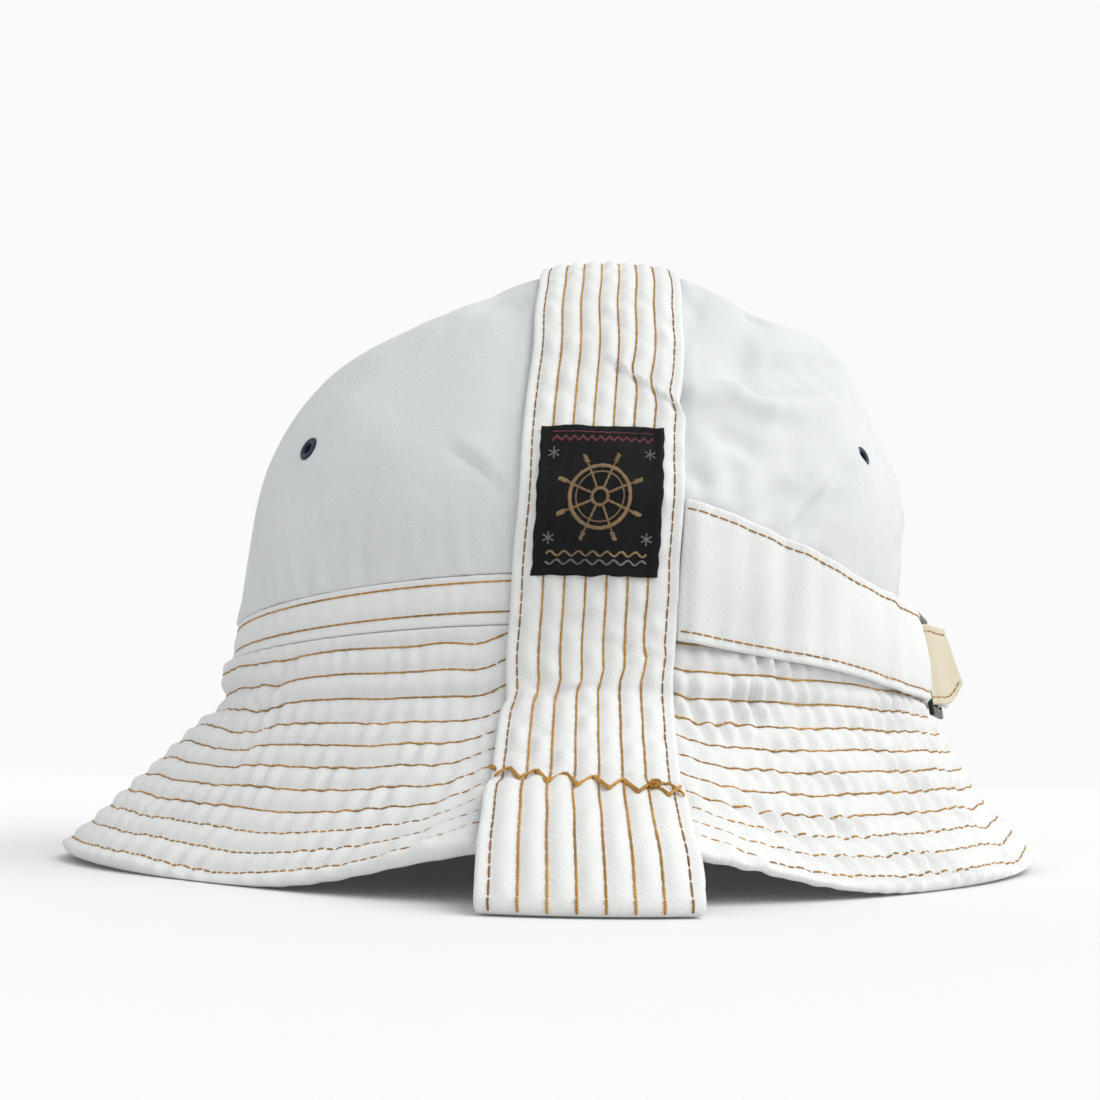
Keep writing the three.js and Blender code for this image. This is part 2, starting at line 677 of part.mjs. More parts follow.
// The first station lies against the strip's rear edge, at each height of the strap's end.
function startStation(side) {
  const middle = STRAP_HEIGHT + STRAP_RISE;
  const halfWidth = (STRAP_END_WIDTH + STRAP_EXTRA_WIDTH) / 2;
  const place = (height) => {
    const aside = stripMiddle(height) + STRIP_WIDTH / 2 + STRAP_START_GAP;
    let bearing = 0;
    for (let round = 0; round < SEARCH_ROUNDS; round += 1) {
      const angle = side > 0 ? bearing : Math.PI - bearing;
      bearing += (aside - capPoint(angle, levelAtHeight(angle, height)).y) / HEAD_HALF_WIDTH;
    }
    const angle = side > 0 ? bearing : Math.PI - bearing;
    const point = capPoint(angle, levelAtHeight(angle, height));
    return point.add(new THREE.Vector3(side * (STRAP_SEAT + STRAP_WALL / 2), 0, 0));
  };
  return { low: place(middle - halfWidth), high: place(middle + halfWidth) };
}

// A place in the buckle. The lower edge is turned out and up by a share of the tail's twist.
function buckleStation(aside, out, turned = 0) {
  const halfWidth = STRAP_END_WIDTH / 2;
  const lowOut = out + turned * STRAP_TAIL_TWIST;
  const low = atBuckle(aside, lowOut, turned * STRAP_TAIL_RAISE - halfWidth);
  return { low, high: atBuckle(aside, out, halfWidth) };
}

// Distances of a strap's middle from a bar's middle: past the bar, beside it, and past the loop
// of the other strap that goes round it.
const OVER_BAR = BUCKLE_THICKNESS / 2 + BUCKLE_EASE + STRAP_WALL / 2;
const BESIDE_BAR = BUCKLE_BAR / 2 + BUCKLE_EASE + STRAP_WALL / 2;
const OVER_LOOP = OVER_BAR + STRAP_WALL + GAP;

// The left strap runs under the near bar, over the middle bar and out over the far bar.
function strapLeft() {
  const far = -BUCKLE_PITCH;
  const [started, halfway, ended] = STRAP_TAIL_TURNS;
  const stations = [
    startStation(1),
    ...STRAP_STATIONS.map((row) => capStation(1, row)),
    buckleStation(BUCKLE_PITCH + BUCKLE_BAR / 2, -OVER_BAR),
    buckleStation(BUCKLE_PITCH - BUCKLE_BAR / 2, -OVER_BAR),
    buckleStation(BUCKLE_BAR / 2, OVER_BAR),
    buckleStation(-BUCKLE_BAR / 2, OVER_BAR),
    buckleStation(far + BESIDE_BAR + STRAP_WALL / 2, OVER_LOOP - BUCKLE_EASE, started),
    buckleStation(far, OVER_LOOP, halfway),
    buckleStation(far - STRAP_TAIL, OVER_LOOP + BUCKLE_EASE, ended),
  ];
  return strapWall(stations);
}

// The right strap goes round the far bar and back over itself, where it is sewn down.
function strapRight() {
  const far = -BUCKLE_PITCH;
  const round = [-90, -45, 0, 45, 90].map((degrees) => {
    const angle = radians(degrees);
    return buckleStation(far + BESIDE_BAR * Math.cos(angle), OVER_BAR * Math.sin(angle));
  });
  const stations = [
    startStation(-1),
    ...STRAP_STATIONS.map((row) => capStation(-1, row)),
    ...round,
    buckleStation(far - STRAP_LAP, OVER_BAR - STRAP_WALL / 2),
  ];
  return strapWall(stations);
}

function eyelet({ point, normal }) {
  const inside = -CROWN_WALL - GAP - EYELET_FLANGE / 2;
  const profile = [
    [EYELET_BORE_RADIUS, inside],
    [EYELET_BARREL_RADIUS, inside],
    [EYELET_BARREL_RADIUS, GAP],
    [EYELET_RADIUS, GAP],
    [EYELET_RADIUS, GAP + EYELET_FLANGE / 2],
    [(EYELET_RADIUS + EYELET_BORE_RADIUS) / 2, GAP + EYELET_FLANGE],
    [EYELET_BORE_RADIUS, GAP + EYELET_FLANGE / 2],
    [EYELET_BORE_RADIUS, inside],
  ];
  const section = profile.map(([x, y]) => new THREE.Vector2(x, y));
  return aimed(new THREE.LatheGeometry(section, EYELET_SIDES), point, normal);
}

const cap = new THREE.Group();

function add(name, geometry, finish) {
  const mesh = new THREE.Mesh(geometry, new THREE.MeshStandardMaterial(finish));
  mesh.name = name;
  cap.add(mesh);
}

const dome = crownDome();
add("brim", brim(), COTTON);
add("crown_band", crownBand(), CROWN_COTTON);
add("crown_front", crownPanel(dome, -1), CROWN_COTTON);
add("crown_rear", crownPanel(dome, 1), CROWN_COTTON);
add("over_strip", overStrip(), COTTON);
add("label", label(), LABEL_CLOTH);
add("strap_left", strapLeft(), COTTON);
add("strap_right", strapRight(), COTTON);
add("buckle", buckle(), DARK_METAL);
for (const place of eyeletPlaces()) add(place.name, eyelet(place), EYELET_METAL);

export default cap;
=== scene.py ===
"""Looks of a sailor cap of white cotton twill, sewn with golden-brown thread.

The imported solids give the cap's shape and size, and this file dresses them with quilted cloth,
rows of stitches, a woven label, a cinch strap with its slide buckle, eyelets, a pale floor and
soft light. Lengths are in metres. The front is -Y, the wearer's left is +X, and the cap stands on
z = 0.
"""

import math

import bpy
import numpy as np
from bpy.props import FloatProperty, FloatVectorProperty, IntProperty, PointerProperty
from mathutils import Matrix, Vector


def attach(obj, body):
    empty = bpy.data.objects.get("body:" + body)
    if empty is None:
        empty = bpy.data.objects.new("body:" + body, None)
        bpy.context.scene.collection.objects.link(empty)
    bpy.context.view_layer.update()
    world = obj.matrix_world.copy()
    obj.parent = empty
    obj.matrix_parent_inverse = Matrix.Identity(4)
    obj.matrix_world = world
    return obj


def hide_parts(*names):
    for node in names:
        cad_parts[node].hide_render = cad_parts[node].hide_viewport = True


bl_info = {
    "name": "Sailor Cap",
    "version": (1, 0, 0),
    "blender": (4, 5, 0),
    "location": "3D View > Sidebar > Cap",
    "description": "Builds a row-stitched cotton sailor cap round its packed solids",
    "category": "Add Mesh",
}

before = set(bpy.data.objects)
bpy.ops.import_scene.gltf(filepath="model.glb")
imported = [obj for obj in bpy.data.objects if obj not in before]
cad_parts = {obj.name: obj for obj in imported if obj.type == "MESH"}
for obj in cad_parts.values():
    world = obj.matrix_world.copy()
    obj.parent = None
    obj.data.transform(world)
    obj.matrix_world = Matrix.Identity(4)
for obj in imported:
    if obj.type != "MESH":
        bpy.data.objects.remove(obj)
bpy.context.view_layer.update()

# Sections of the brim from its edge up to the crease, in shares of the named sizes:
# up, side, front, rear, pinch, lift, tip, rise
BRIM_SECTIONS = (
    (0, 1, 1, 1, 1, 1, 1, 0),
    (0.28, 0.467, 0.65, 0.6, 0.7, 0.667, 0.7, 0),
    (0.63, 0.067, 0.26, 0.24, 0.23, 0.333, 0.2, 0.2),
    (0.8, 0.02, 0.08, 0.06, 0.08, 0.1, 0, 0.5),
    (1, 0, 0, 0, 0, 0, 0, 0.8),
)

# Sections of the crown from the top of the band to the apex, in shares:
# up, wide, front, rear, lean, square, rise
CROWN_SECTIONS = (
    (0, 1.017, 0.99, 0.985, 0, 0, 1),
    (0.205, 1.047, 0.981, 0.971, 0.12, 0.5, 0.4),
    (0.42, 0.971, 0.951, 0.941, 0.24, 1, 0),
    (0.598, 0.872, 0.883, 0.873, 0.41, 1, 0),
    (0.75, 0.756, 0.748, 0.784, 0.59, 1, 0),
    (0.857, 0.616, 0.495, 0.588, 0.76, 0, 0),
    (0.946, 0.42, 0.35, 0.392, 0.94, 0, 0),
    (1, 0.006, 0.005, 0.005, 1, 0, 0),
)

# Soft dents in the cloth: degrees from the left ear towards the back, share of the cap's height,
# degrees wide, share of the height tall, and share of the dent depth
DENTS = (
    (40, 0.75, 15, 0.075, 0.8),
    (27, 0.66, 13, 0.035, -0.35),
    (34, 0.5, 7, 0.05, 0.4),
    (-68, 0.87, 22, 0.055, 0.9),
    (-112, 0.84, 16, 0.06, 0.5),
    (108, 0.8, 18, 0.07, 0.6),
    (148, 0.72, 14, 0.06, 0.6),
    (-148, 0.64, 13, 0.07, 0.5),
    (-74, 0.24, 12, 0.025, 0.5),
    (-78, 0.29, 13, 0.018, -0.35),
    (120, 0.17, 9, 0.06, 0.35),
    (-128, 0.15, 10, 0.06, 0.35),
)

# Stations of the cinch strap: degrees from the ear, and shares of its rise, extra width and stand
STRAP_STATIONS = (
    (23, 0.79, 0.83, 0.1),
    (32, 0.57, 0.54, 0.15),
    (41, 0.36, 0.25, 0.2),
    (50, 0.15, 0, 0.25),
    (60, 0, 0, 0.25),
    (71, 0, 0, 0.3),
)

# Creases in the crown: from (degrees, height) to (degrees, height), depth and half width
CROWN_CREASES = (
    ((-22, 0.1010), (-12, 0.0885), 0.0012, 0.0010),
    ((-21, 0.1030), (-12, 0.0905), -0.0007, 0.0024),
    ((-28, 0.0925), (-24.5, 0.0907), 0.0004, 0.0007),
    ((-32, 0.1550), (-17, 0.1480), 0.0018, 0.0052),
    ((-55, 0.0880), (-52, 0.0670), 0.0005, 0.0020),
    ((-49, 0.0820), (-48, 0.0660), 0.0004, 0.0018),
    ((-61, 0.0800), (-60, 0.0660), 0.0005, 0.0020),
    ((-48, 0.1210), (-32, 0.1030), -0.0005, 0.0060),
    ((-51, 0.0930), (-33, 0.0970), 0.0005, 0.0060),
    ((14, 0.1165), (26, 0.1185), -0.0020, 0.0030),
    ((24, 0.1185), (33, 0.1160), -0.0022, 0.0032),
    ((31, 0.1160), (50, 0.1245), -0.0022, 0.0038),
    ((42, 0.1600), (28, 0.1230), 0.0028, 0.0052),
    ((33, 0.1300), (60, 0.1390), 0.0026, 0.0054),
    ((38, 0.1500), (35, 0.1300), -0.0012, 0.0040),
    ((21, 0.1075), (27, 0.1010), 0.0017, 0.0032),
    ((17, 0.1050), (20, 0.0990), -0.0007, 0.0024),
    ((23, 0.0985), (22, 0.0890), 0.0014, 0.0028),
    ((28, 0.0860), (34, 0.0945), 0.0014, 0.0026),
    ((34, 0.0820), (40, 0.0930), 0.0020, 0.0030),
    ((31, 0.0830), (41, 0.1010), -0.0019, 0.0026),
    ((40, 0.0920), (48, 0.1035), 0.0015, 0.0032),
    ((44, 0.0960), (52, 0.1080), -0.0009, 0.0028),
    ((15, 0.0960), (18, 0.0910), 0.0017, 0.0026),
    ((95, 0.1200), (120, 0.1080), 0.0012, 0.0035),
    ((105, 0.0980), (128, 0.1060), -0.0011, 0.0035),
    ((150, 0.1100), (163, 0.0920), 0.0011, 0.0030),
    ((140, 0.1300), (165, 0.1200), 0.0011, 0.0045),
    ((-160, 0.1180), (-145, 0.1010), 0.0011, 0.0032),
    ((-120, 0.0950), (-100, 0.0830), 0.0009, 0.0032),
    ((-100, 0.1300), (-80, 0.1240), -0.0010, 0.0040),
    ((-135, 0.0840), (-128, 0.0950), -0.0009, 0.0030),
)

# Creases in the brim, the same way
BRIM_CREASES = (
    ((-50.5, 0.0505), (-56.5, 0.0375), 0.0013, 0.0016),
    ((-53.5, 0.0515), (-60, 0.0380), -0.0011, 0.0024),
    ((-57, 0.0370), (-61, 0.0270), 0.0007, 0.0022),
    ((24, 0.0400), (33, 0.0460), 0.0007, 0.0022),
    ((21, 0.0330), (30, 0.0290), 0.0007, 0.0018),
    ((132, 0.0420), (140, 0.0330), 0.0010, 0.0022),
    ((-150, 0.0440), (-143, 0.0340), 0.0009, 0.0022),
)

# Folds across the strip: side, then aside and height of its two ends, lift, slide, and the aside
# past which it slides
STRIP_FOLDS = (
    (1, (0.0002, 0.1248), (0.0170, 0.1123), 0.0013, -0.0021, 0.0030),
    (1, (0.0035, 0.0546), (0.0169, 0.0505), 0.0007, -0.0011, 0.0080),
    (1, (-0.0166, 0.0393), (-0.0012, 0.0437), 0.0006, 0.0014, -0.0300),
    (1, (-0.0185, 0.0150), (-0.0080, 0.0150), 0.0004, 0.0003, -0.0300),
    (1, (0.0080, 0.0135), (0.0190, 0.0125), 0.0005, -0.0007, 0.0060),
    (-1, (-0.0160, 0.1150), (0.0030, 0.1260), 0.0011, 0.0014, -0.0300),
    (-1, (0.0000, 0.0480), (0.0175, 0.0560), 0.0008, 0.0012, 0.0030),
)

# How deep the brim puckers, in metres, by degrees from the left ear
PUCKERS = (
    (-180, 0.0006),
    (-100, 0.00045),
    (-60, 0.00034),
    (-15, 0.00024),
    (8, 0.0003),
    (16, 0.0006),
    (28, 0.0008),
    (60, 0.0008),
    (95, 0.0007),
    (180, 0.0006),
)

# Levels of the surface: the crease, the band's top and the apex
CREASE = len(BRIM_SECTIONS) - 1
BAND_TOP = CREASE + 1
APEX = BAND_TOP + len(CROWN_SECTIONS) - 1
LIFT_SHARPNESS = 12
TIP_SHARPNESS = 6
HEART_SHARE = 0.4

# Length of cloth, in metres, to one unit of its map, and steps over a rolled rim
CLOTH_UNIT = 0.1
RIM_STEPS = 5

# How far each cloth lies from the axis, and the length of the brim's slant, to measure folds by
BRIM_REACH = 0.118
BAND_REACH = 0.09
CROWN_REACH = 0.088
SLANT = 0.066

# The seams between brim, band and crown, and half the gap between the crown's two panels
SEAM_GAP = 0.00003
PANEL_GAP = 0.0002
SEAM_REACH = 0.0005

# The brim's rows: half width of a row's groove, the first dashed row, and how rows rise beside the
# strip and slip past the fold, in degrees and in shares of the slant
ROW_GROOVE = 0.0009
FIRST_DASHED_ROW = 8
ROW_RISE_DEGREES = (8.5, 17)
ROW_RISE_LIMIT = 0.06
FOLD_START_DEGREES = (-50, -52.5)
FOLD_END_DEGREES = (-70, -58)
FOLD_SLIP = 0.026

# The band's two rows, from its lower edge
BAND_ROWS = (0.0031, 0.0097)

# Gaps between stitches: less than nothing where they overlap
OVERLAP = -0.00022
ROW_OVERLAP = -0.00024
ROW_DASH = 0.0004
EDGE_GAP = 0.0001
STRAP_GAP = 0.0002

# The strip from ear to ear
STRIP_ROWS = 500
TURNED_ROWS = 34
TURN_STEPS = 7
FOOT_SHIFT = -0.001
STRIP_LEAN = 0.056
FOOT_OVERHANG = 0.0105
FOOT_CLEARANCE = 0.0005
STRIP_SEAT = 0.0006
STRIP_COVER = 0.0008
LAP_GAP = 0.0004

# The tacks across the strip's feet: corners of the zigzag and its half height, the knots by place,
# size and turns, and the loose end by places
TACK_CORNERS = 14
TACK_ZIGZAG = 0.0010
TACK_KNOTS = (((-0.0186, 0.0242), 0.0007, 9), ((0.0128, 0.0212), 0.0014, 16))
TACK_LOOSE_END = ((0.0135, 0.0216), (0.0158, 0.0218), (0.0183, 0.0196))

# The label: its seat over the cap, its wall, and how far it sits from the strip's middle line
LABEL_SEAT = 0.00295
LABEL_WALL = 0.0008
LABEL_SHIFT = 0.0004

# The cinch strap
STRAP_HEIGHT = 0.0586
STRAP_RISE = 0.0126
STRAP_END_WIDTH = 0.025
STRAP_EXTRA_WIDTH = 0.0082
STRAP_STAND = 0.0022
STRAP_SEAT = 0.0007
STRAP_MARGIN = 0.00045
STRAP_ROWS = 210
STRAP_ROW_INSET = 0.0023
STRAP_LAP = 0.006
STRAP_TAIL = 0.0025
LAYER_GAP = 0.00035
TAIL_TWIST = 0.0035
TAIL_RAISE = 0.007
# Where the painted warm shade on the strap's end begins, in units of the cloth's map
TAIL_SHADE_FROM = 1.25

# The slide buckle
BUCKLE_TURN = 26
BUCKLE_TILT = 6
BUCKLE_SHIFT = 0.001
BUCKLE_STAND = 0.0088
BUCKLE_PITCH = 0.011
BUCKLE_HEIGHT = 0.032
BUCKLE_BAR = 0.002
BUCKLE_END_BAR = 0.003
BUCKLE_THICKNESS = 0.0015
BUCKLE_BEVEL = 0.00055
BUCKLE_EASE = 0.0006

# The eyelets, and the holes cut for them
EYELET_HEIGHT = 0.108
EYELET_ANGLE = 52
EYELET_HOLE = 0.00245
DRILL_LENGTH = 0.012

# The floor, which lies just under the hem
FLOOR_SIZE = 14
FLOOR_DROP = 0.00005

# The sun behind the cap: its direction, the angle that it fills, its strength and its colour
KEY_TOWARDS = (0.42, 0.88, 0.92)
KEY_ANGLE = 62
KEY_STRENGTH = 2.4
KEY_COLOUR = (1, 0.985, 0.955)

# The light all round: at either side, overhead, low down, and behind the cap
SKY_SIDES = ((0.80, 0.81, 0.82, 1), (0.78, 0.78, 0.785, 1))
SKY_OVERHEAD = (0.62, 0.63, 0.64, 1)
SKY_LOW = (0.95, 0.955, 0.96, 1)
SKY_BEHIND = (0.955, 0.957, 0.96, 1)

# The camera: its place, its focal length and the picture's width in the photograph's pixels, its
# pitch from straight down and its roll
CAMERA_PLACE = (0.333, -0.0008, 0.023)
FOCAL_PIXELS = 1071
PICTURE_PIXELS = 1100
FILM_WIDTH = 36
CAMERA_PITCH = 102
CAMERA_ROLL = 0.8


def length_of(name, description, default):
    """A length's property."""
    return FloatProperty(name=name, description=description, default=default, unit="LENGTH")


def share_of(name, description, default):
    """The property of a share or a factor."""
    return FloatProperty(name=name, description=description, default=default)


def count_of(name, description, default):
    """A whole number's property."""
    return IntProperty(name=name, description=description, default=default)


def colour_of(name, description, default):
    """A colour's property."""
    return FloatVectorProperty(name=name, description=description, subtype="COLOR", size=4,
                               default=(*default, 1), min=0, max=1)


class CapSizes(bpy.types.PropertyGroup):
    """Sizes of the cap and of its sewing"""

    head_half_width: length_of("Head Half Width", "Half of the head opening from ear to ear", 0.086)
    head_front: length_of("Head Front", "Head opening in front of its axis", 0.103)
    head_rear: length_of("Head Rear", "Head opening behind its axis", 0.102)
    crease_height: length_of("Crease Height", "Height of the seam between brim and band", 0.054)
    seam_side_rise: length_of("Seam Side Rise", "Rise of the seams at the ears", 0.005)
    band_height: length_of("Band Height", "Height of the band under the crown", 0.011)
    crown_height: length_of("Crown Height", "Height of the crown above the band", 0.112)
    crown_lean: length_of("Crown Lean", "How far the apex lies behind the head's axis", 0.0085)
    crown_squareness: share_of("Crown Squareness", "How square the crown is from above", 0.02)
    brim_out_side: length_of("Brim Out at the Side", "Reach of the brim past the ears", 0.045)
    brim_out_front: length_of("Brim Out in Front", "Reach of the brim in front", 0.043)
    brim_out_rear: length_of("Brim Out behind", "Reach of the brim behind", 0.030)
    brim_side_lift: length_of("Brim Side Lift", "Lift of the brim's edge at the ears", 0.012)
    brim_tip_lift: length_of("Brim Tip Lift", "Lift of the brim's edge in front and behind", 0.004)
    brim_pinch: share_of("Brim Pinch", "How far the brim draws in between ear and front", 0.09)
    dent_depth: length_of("Dent Depth", "Depth of a full dent", 0.005)
    crown_wall: length_of("Crown Wall", "Thickness of the crown", 0.0016)
    band_wall: length_of("Band Wall", "Thickness of the band", 0.002)
    brim_wall: length_of("Brim Wall", "Thickness of the brim", 0.0026)
    brim_rows: count_of("Brim Rows", "Rows of stitches round the brim", 11)
    first_row: share_of("First Row", "Share of the slant at the first row", 0.055)
    row_step: share_of("Row Step", "Share of the slant from row to row", 0.089)
    strip_width: length_of("Strip Width", "Width of the strip from ear to ear", 0.0385)
    strip_wall: length_of("Strip Wall", "Thickness of the strip", 0.002)
    strip_lines: count_of("Strip Lines", "Lines of stitches along the strip", 8)
    line_step: length_of("Line Step", "Distance between the strip's lines", 0.00476)
    label_width: length_of("Label Width", "Width of the woven label", 0.0286)
    label_height: length_of("Label Height", "Height of the woven label", 0.035)
    label_foot: length_of("Label Foot", "Height of the label's lower edge", 0.069)
    strap_wall: length_of("Strap Wall", "Thickness of the cinch strap", 0.0016)
    stitch: length_of("Stitch", "Length of a stitch", 0.0029)
    thread: length_of("Thread", "Thickness of the thread", 0.00050)


class CapColours(bpy.types.PropertyGroup):
    """Colours of the cap's finishes"""

    cotton: colour_of("Cotton", "Brim, strip and strap", (0.845, 0.858, 0.85))
    # Painted shade: the crown's cotton is darker and bluer than the rest, for its grey-blue shading
    shaded_crown_cotton: colour_of("Shaded Crown Cotton", "Crown", (0.76, 0.78, 0.79))
    # Painted shade: a darker, warmer cotton on the strap's end stands for the shade it lies in
    tail_shade_cotton: colour_of("Tail Shade Cotton", "Painted warm shade on the strap's end", (0.66, 0.60, 0.46))
    thread: colour_of("Thread", "Golden-brown thread", (0.37, 0.185, 0.031))
    edge_thread: colour_of("Edge Thread", "Thread of the strip's edges", (0.24, 0.12, 0.035))
    label: colour_of("Label", "Ground of the label", (0.0035, 0.0035, 0.0042))
    tan_yarn: colour_of("Tan Yarn", "Main yarn of the label", (0.34, 0.22, 0.11))
    grey_yarn: colour_of("Grey Yarn", "Second yarn of the label", (0.19, 0.21, 0.20))
    maroon_yarn: colour_of("Maroon Yarn", "Third yarn of the label", (0.16, 0.035, 0.045))
    gunmetal: colour_of("Gunmetal", "Lacquer of the buckle", (0.012, 0.018, 0.018))
    brass: colour_of("Brass", "Brass where the lacquer is worn", (0.55, 0.38, 0.14))
    navy: colour_of("Navy", "Lacquer of the eyelets", (0.012, 0.022, 0.040))
    floor: colour_of("Floor", "Pale floor", (0.765, 0.765, 0.765))


def soft_step(low, high, value):
    """Nothing up to the low value, one past the high one, and eased between them."""
    share = np.clip((value - low) / (high - low), 0, 1)
    return share * share * (3 - 2 * share)


def unit(vectors):
    """The same directions, one long."""
    return vectors / np.maximum(np.linalg.norm(vectors, axis=-1, keepdims=True), 1e-12)


def waves(along, across, seed, short, long, lean, count=16):
    """An uneven ripple with crests across, about one high, from waves of random length and slant."""
    random = np.random.default_rng(seed)
    total = 0 * (along + across)
    for _ in range(count):
        length = random.uniform(short, long)
        slant = random.uniform(-lean, lean)
        phase = random.uniform(0, 2 * math.pi)
        total = total + np.sin(2 * math.pi * (along + slant * across) / length + phase)
    return total / math.sqrt(count / 2)


def crumple(along, across, seed, short, long, count=20):
    """An uneven ripple with crests in every direction, about one high."""
    random = np.random.default_rng(seed)
    total = 0 * (along + across)
    for _ in range(count):
        length = random.uniform(short, long)
        heading = random.uniform(0, math.pi)
        phase = random.uniform(0, 2 * math.pi)
        run = along * math.cos(heading) + across * math.sin(heading)
        total = total + np.sin(2 * math.pi * run / length + phase)
    return total / math.sqrt(count / 2)


def rounded(distance, half, reach=None):
    """Half thickness of a cloth at a distance from its rolled rim, full past the roll's reach."""
    inside = np.clip(distance / (reach or half), 0, 1)
    return half * np.sqrt(np.maximum(1 - (1 - inside) ** 2, 0))


def steps_with_rims(length, count, rim):
    """Places along a length, close together at both rims."""
    arc = rim * (1 - np.cos(np.linspace(0, math.pi / 2, RIM_STEPS)))
    middle = np.linspace(rim, length - rim, count)[1:-1]
    return np.concatenate([arc, middle, (length - arc)[::-1]])


def settled(points):
    """Points that keep above the floor."""
    squash = 0.0006
    height = points[..., 2]
    points[..., 2] = 0.5 * (height + np.sqrt(height**2 + squash**2))
    return points


def run_along(line):
    """How far along a line each of its points lies."""
    return np.concatenate([[0], np.linalg.norm(np.diff(line, axis=0), axis=1).cumsum()])


def resampled(line, count):
    """Points at even steps along a line, with any columns that follow the first three."""
    run = run_along(line[:, :3])
    even = np.linspace(0, run[-1], count)
    return np.stack([np.interp(even, run, line[:, k]) for k in range(line.shape[1])], axis=1)


def smoothed(grid, reach):
    """A grid of points with its kinks along the first axis eased."""
    kernel = np.exp(-np.linspace(-2, 2, 2 * reach + 1) ** 2)
    kernel /= kernel.sum()
    ends = np.concatenate([np.repeat(grid[:1], reach, axis=0), grid, np.repeat(grid[-1:], reach, axis=0)])
    eased = sum(weight * ends[k : k + len(grid)] for k, weight in enumerate(kernel))
    hold = np.minimum(np.arange(len(grid)), np.arange(len(grid))[::-1]) / reach
    hold = np.clip(hold, 0, 1)[:, None, None]
    return grid * (1 - hold) + eased * hold


def grid_normals(grid):
    """Normals of a grid whose first axis runs along a piece and whose second runs across it."""
    return unit(np.cross(np.gradient(grid, axis=1), np.gradient(grid, axis=0)))


class CapShape:
    """The cap's outer surface, by an angle from the left ear and a level from edge to apex."""

    def __init__(self, sizes):
        self.sizes = sizes
        self.axis = (sizes.head_front + sizes.brim_out_front - sizes.head_rear - sizes.brim_out_rear) / 2
        self.height = sizes.crease_height + sizes.band_height + sizes.crown_height
        rows = []
        for up, side, front, rear, pinch, lift, tip, rise in BRIM_SECTIONS:
            rows.append((
                up * sizes.crease_height,
                sizes.head_half_width + side * sizes.brim_out_side,
                sizes.head_front + front * sizes.brim_out_front,
                sizes.head_rear + rear * sizes.brim_out_rear,
                self.axis,
                pinch * sizes.brim_pinch,
                lift * sizes.brim_side_lift,
                tip * sizes.brim_tip_lift,
                rise * sizes.seam_side_rise,
            ))
        for up, wide, front, rear, lean, square, rise in CROWN_SECTIONS:
            rows.append((
                sizes.crease_height + sizes.band_height + up * sizes.crown_height,
                wide * sizes.head_half_width,
                front * sizes.head_front,
                rear * sizes.head_rear,
                self.axis + lean * sizes.crown_lean,
                -square * sizes.crown_squareness,
                0,
                0,
                rise * sizes.seam_side_rise,
            ))
        self.rows = np.array(rows)
        self.slant = self.slant_table()

    def points(self, angle, level):
        """Points of the surface, its sections joined by smooth curves, with the dents pressed in."""
        angle, level = np.broadcast_arrays(angle, level)
        low = np.clip(np.floor(level).astype(int), 0, APEX - 1)
        k = (level - low)[..., None]
        a, b, c, d = (self.rows[np.clip(low + step, 0, APEX)] for step in (-1, 0, 1, 2))
        at = b + 0.5 * k * (c - a + k * (2 * a - 5 * b + 4 * c - d + k * (3 * (b - c) + d - a)))
        height, wide, front, rear, centre, pinch, lift, tip, rise = np.moveaxis(at, -1, 0)
        across, along = np.cos(angle), np.sin(angle)
        reach = np.where(along < 0, front, rear)
        radius = (1 - pinch * np.sin(2 * angle) ** 2) / np.hypot(across / wide, along / reach)
        up = height + rise * across**2 + lift * np.abs(across) ** LIFT_SHARPNESS
        up = up + tip * np.abs(along) ** TIP_SHARPNESS
        point = np.stack([radius * across, centre + radius * along, up], axis=-1)
        heart = np.stack([0 * centre, centre, 0 * centre + HEART_SHARE * self.height], axis=-1)
        inward = unit(heart - point)
        inward[..., 2] = np.where(level < BAND_TOP, 0, inward[..., 2])
        return point + inward * self.dents(angle, up)[..., None]

    def dents(self, angle, up):
        """How far the dents press the surface in."""
        depth = 0 * up
        for around, share, wide, tall, deep in DENTS:
            turn = angle - math.radians(around)
            aside = np.arctan2(np.sin(turn), np.cos(turn)) / math.radians(wide)
            above = (up / self.height - share) / tall
            depth = depth + deep * self.sizes.dent_depth * np.exp(-(aside**2) - above**2)
        return depth

    def normals(self, angle, level):
        """Directions out of the surface."""
        step = 0.001
        start = np.minimum(level, APEX - step)
        point = self.points(angle, start)
        around = self.points(angle + step, start) - point
        upward = self.points(angle, start + step) - point
        return unit(np.cross(around, upward))

    def offset(self, angle, level, distance):
        """Points at a distance out from the surface."""
        distance = np.asarray(distance)[..., None]
        return self.points(angle, level) + self.normals(angle, level) * distance

    def level_at_height(self, angle, height):
        """The level at which the surface reaches a height."""
        low = 0 * (angle + height)
        high = low + APEX
        for _ in range(28):
            middle = (low + high) / 2
            below = self.points(angle, middle)[..., 2] < height
            low = np.where(below, middle, low)
            high = np.where(below, high, middle)
        return (low + high) / 2

    def slant_table(self):
        """Levels by angle and by share of the brim's slant from the crease down to the edge."""
        angles = np.linspace(-math.pi, math.pi, 721)
        levels = np.linspace(CREASE, 0, 121)
        line = self.points(angles[:, None], levels[None, :])
        run = np.linalg.norm(np.diff(line, axis=1), axis=-1).cumsum(axis=1)
        share = np.concatenate([0 * run[:, :1], run / run[:, -1:]], axis=1)
        even = np.linspace(0, 1, 201)
        return np.stack([np.interp(even, row, levels) for row in share])

    def level_at_share(self, angle, share):
        """The level at a share of the brim's slant, read from the table."""
        rows, columns = self.slant.shape
        x = (angle / (2 * math.pi) + 0.5) % 1 * (rows - 1)
        y = np.clip(share, 0, 1) * (columns - 1)
        i = np.clip(np.floor(x).astype(int), 0, rows - 2)
        j = np.clip(np.floor(y).astype(int), 0, columns - 2)
        s, t = x - i, y - j
        low = self.slant[i, j] * (1 - t) + self.slant[i, j + 1] * t
        high = self.slant[i + 1, j] * (1 - t) + self.slant[i + 1, j + 1] * t
        return low * (1 - s) + high * s

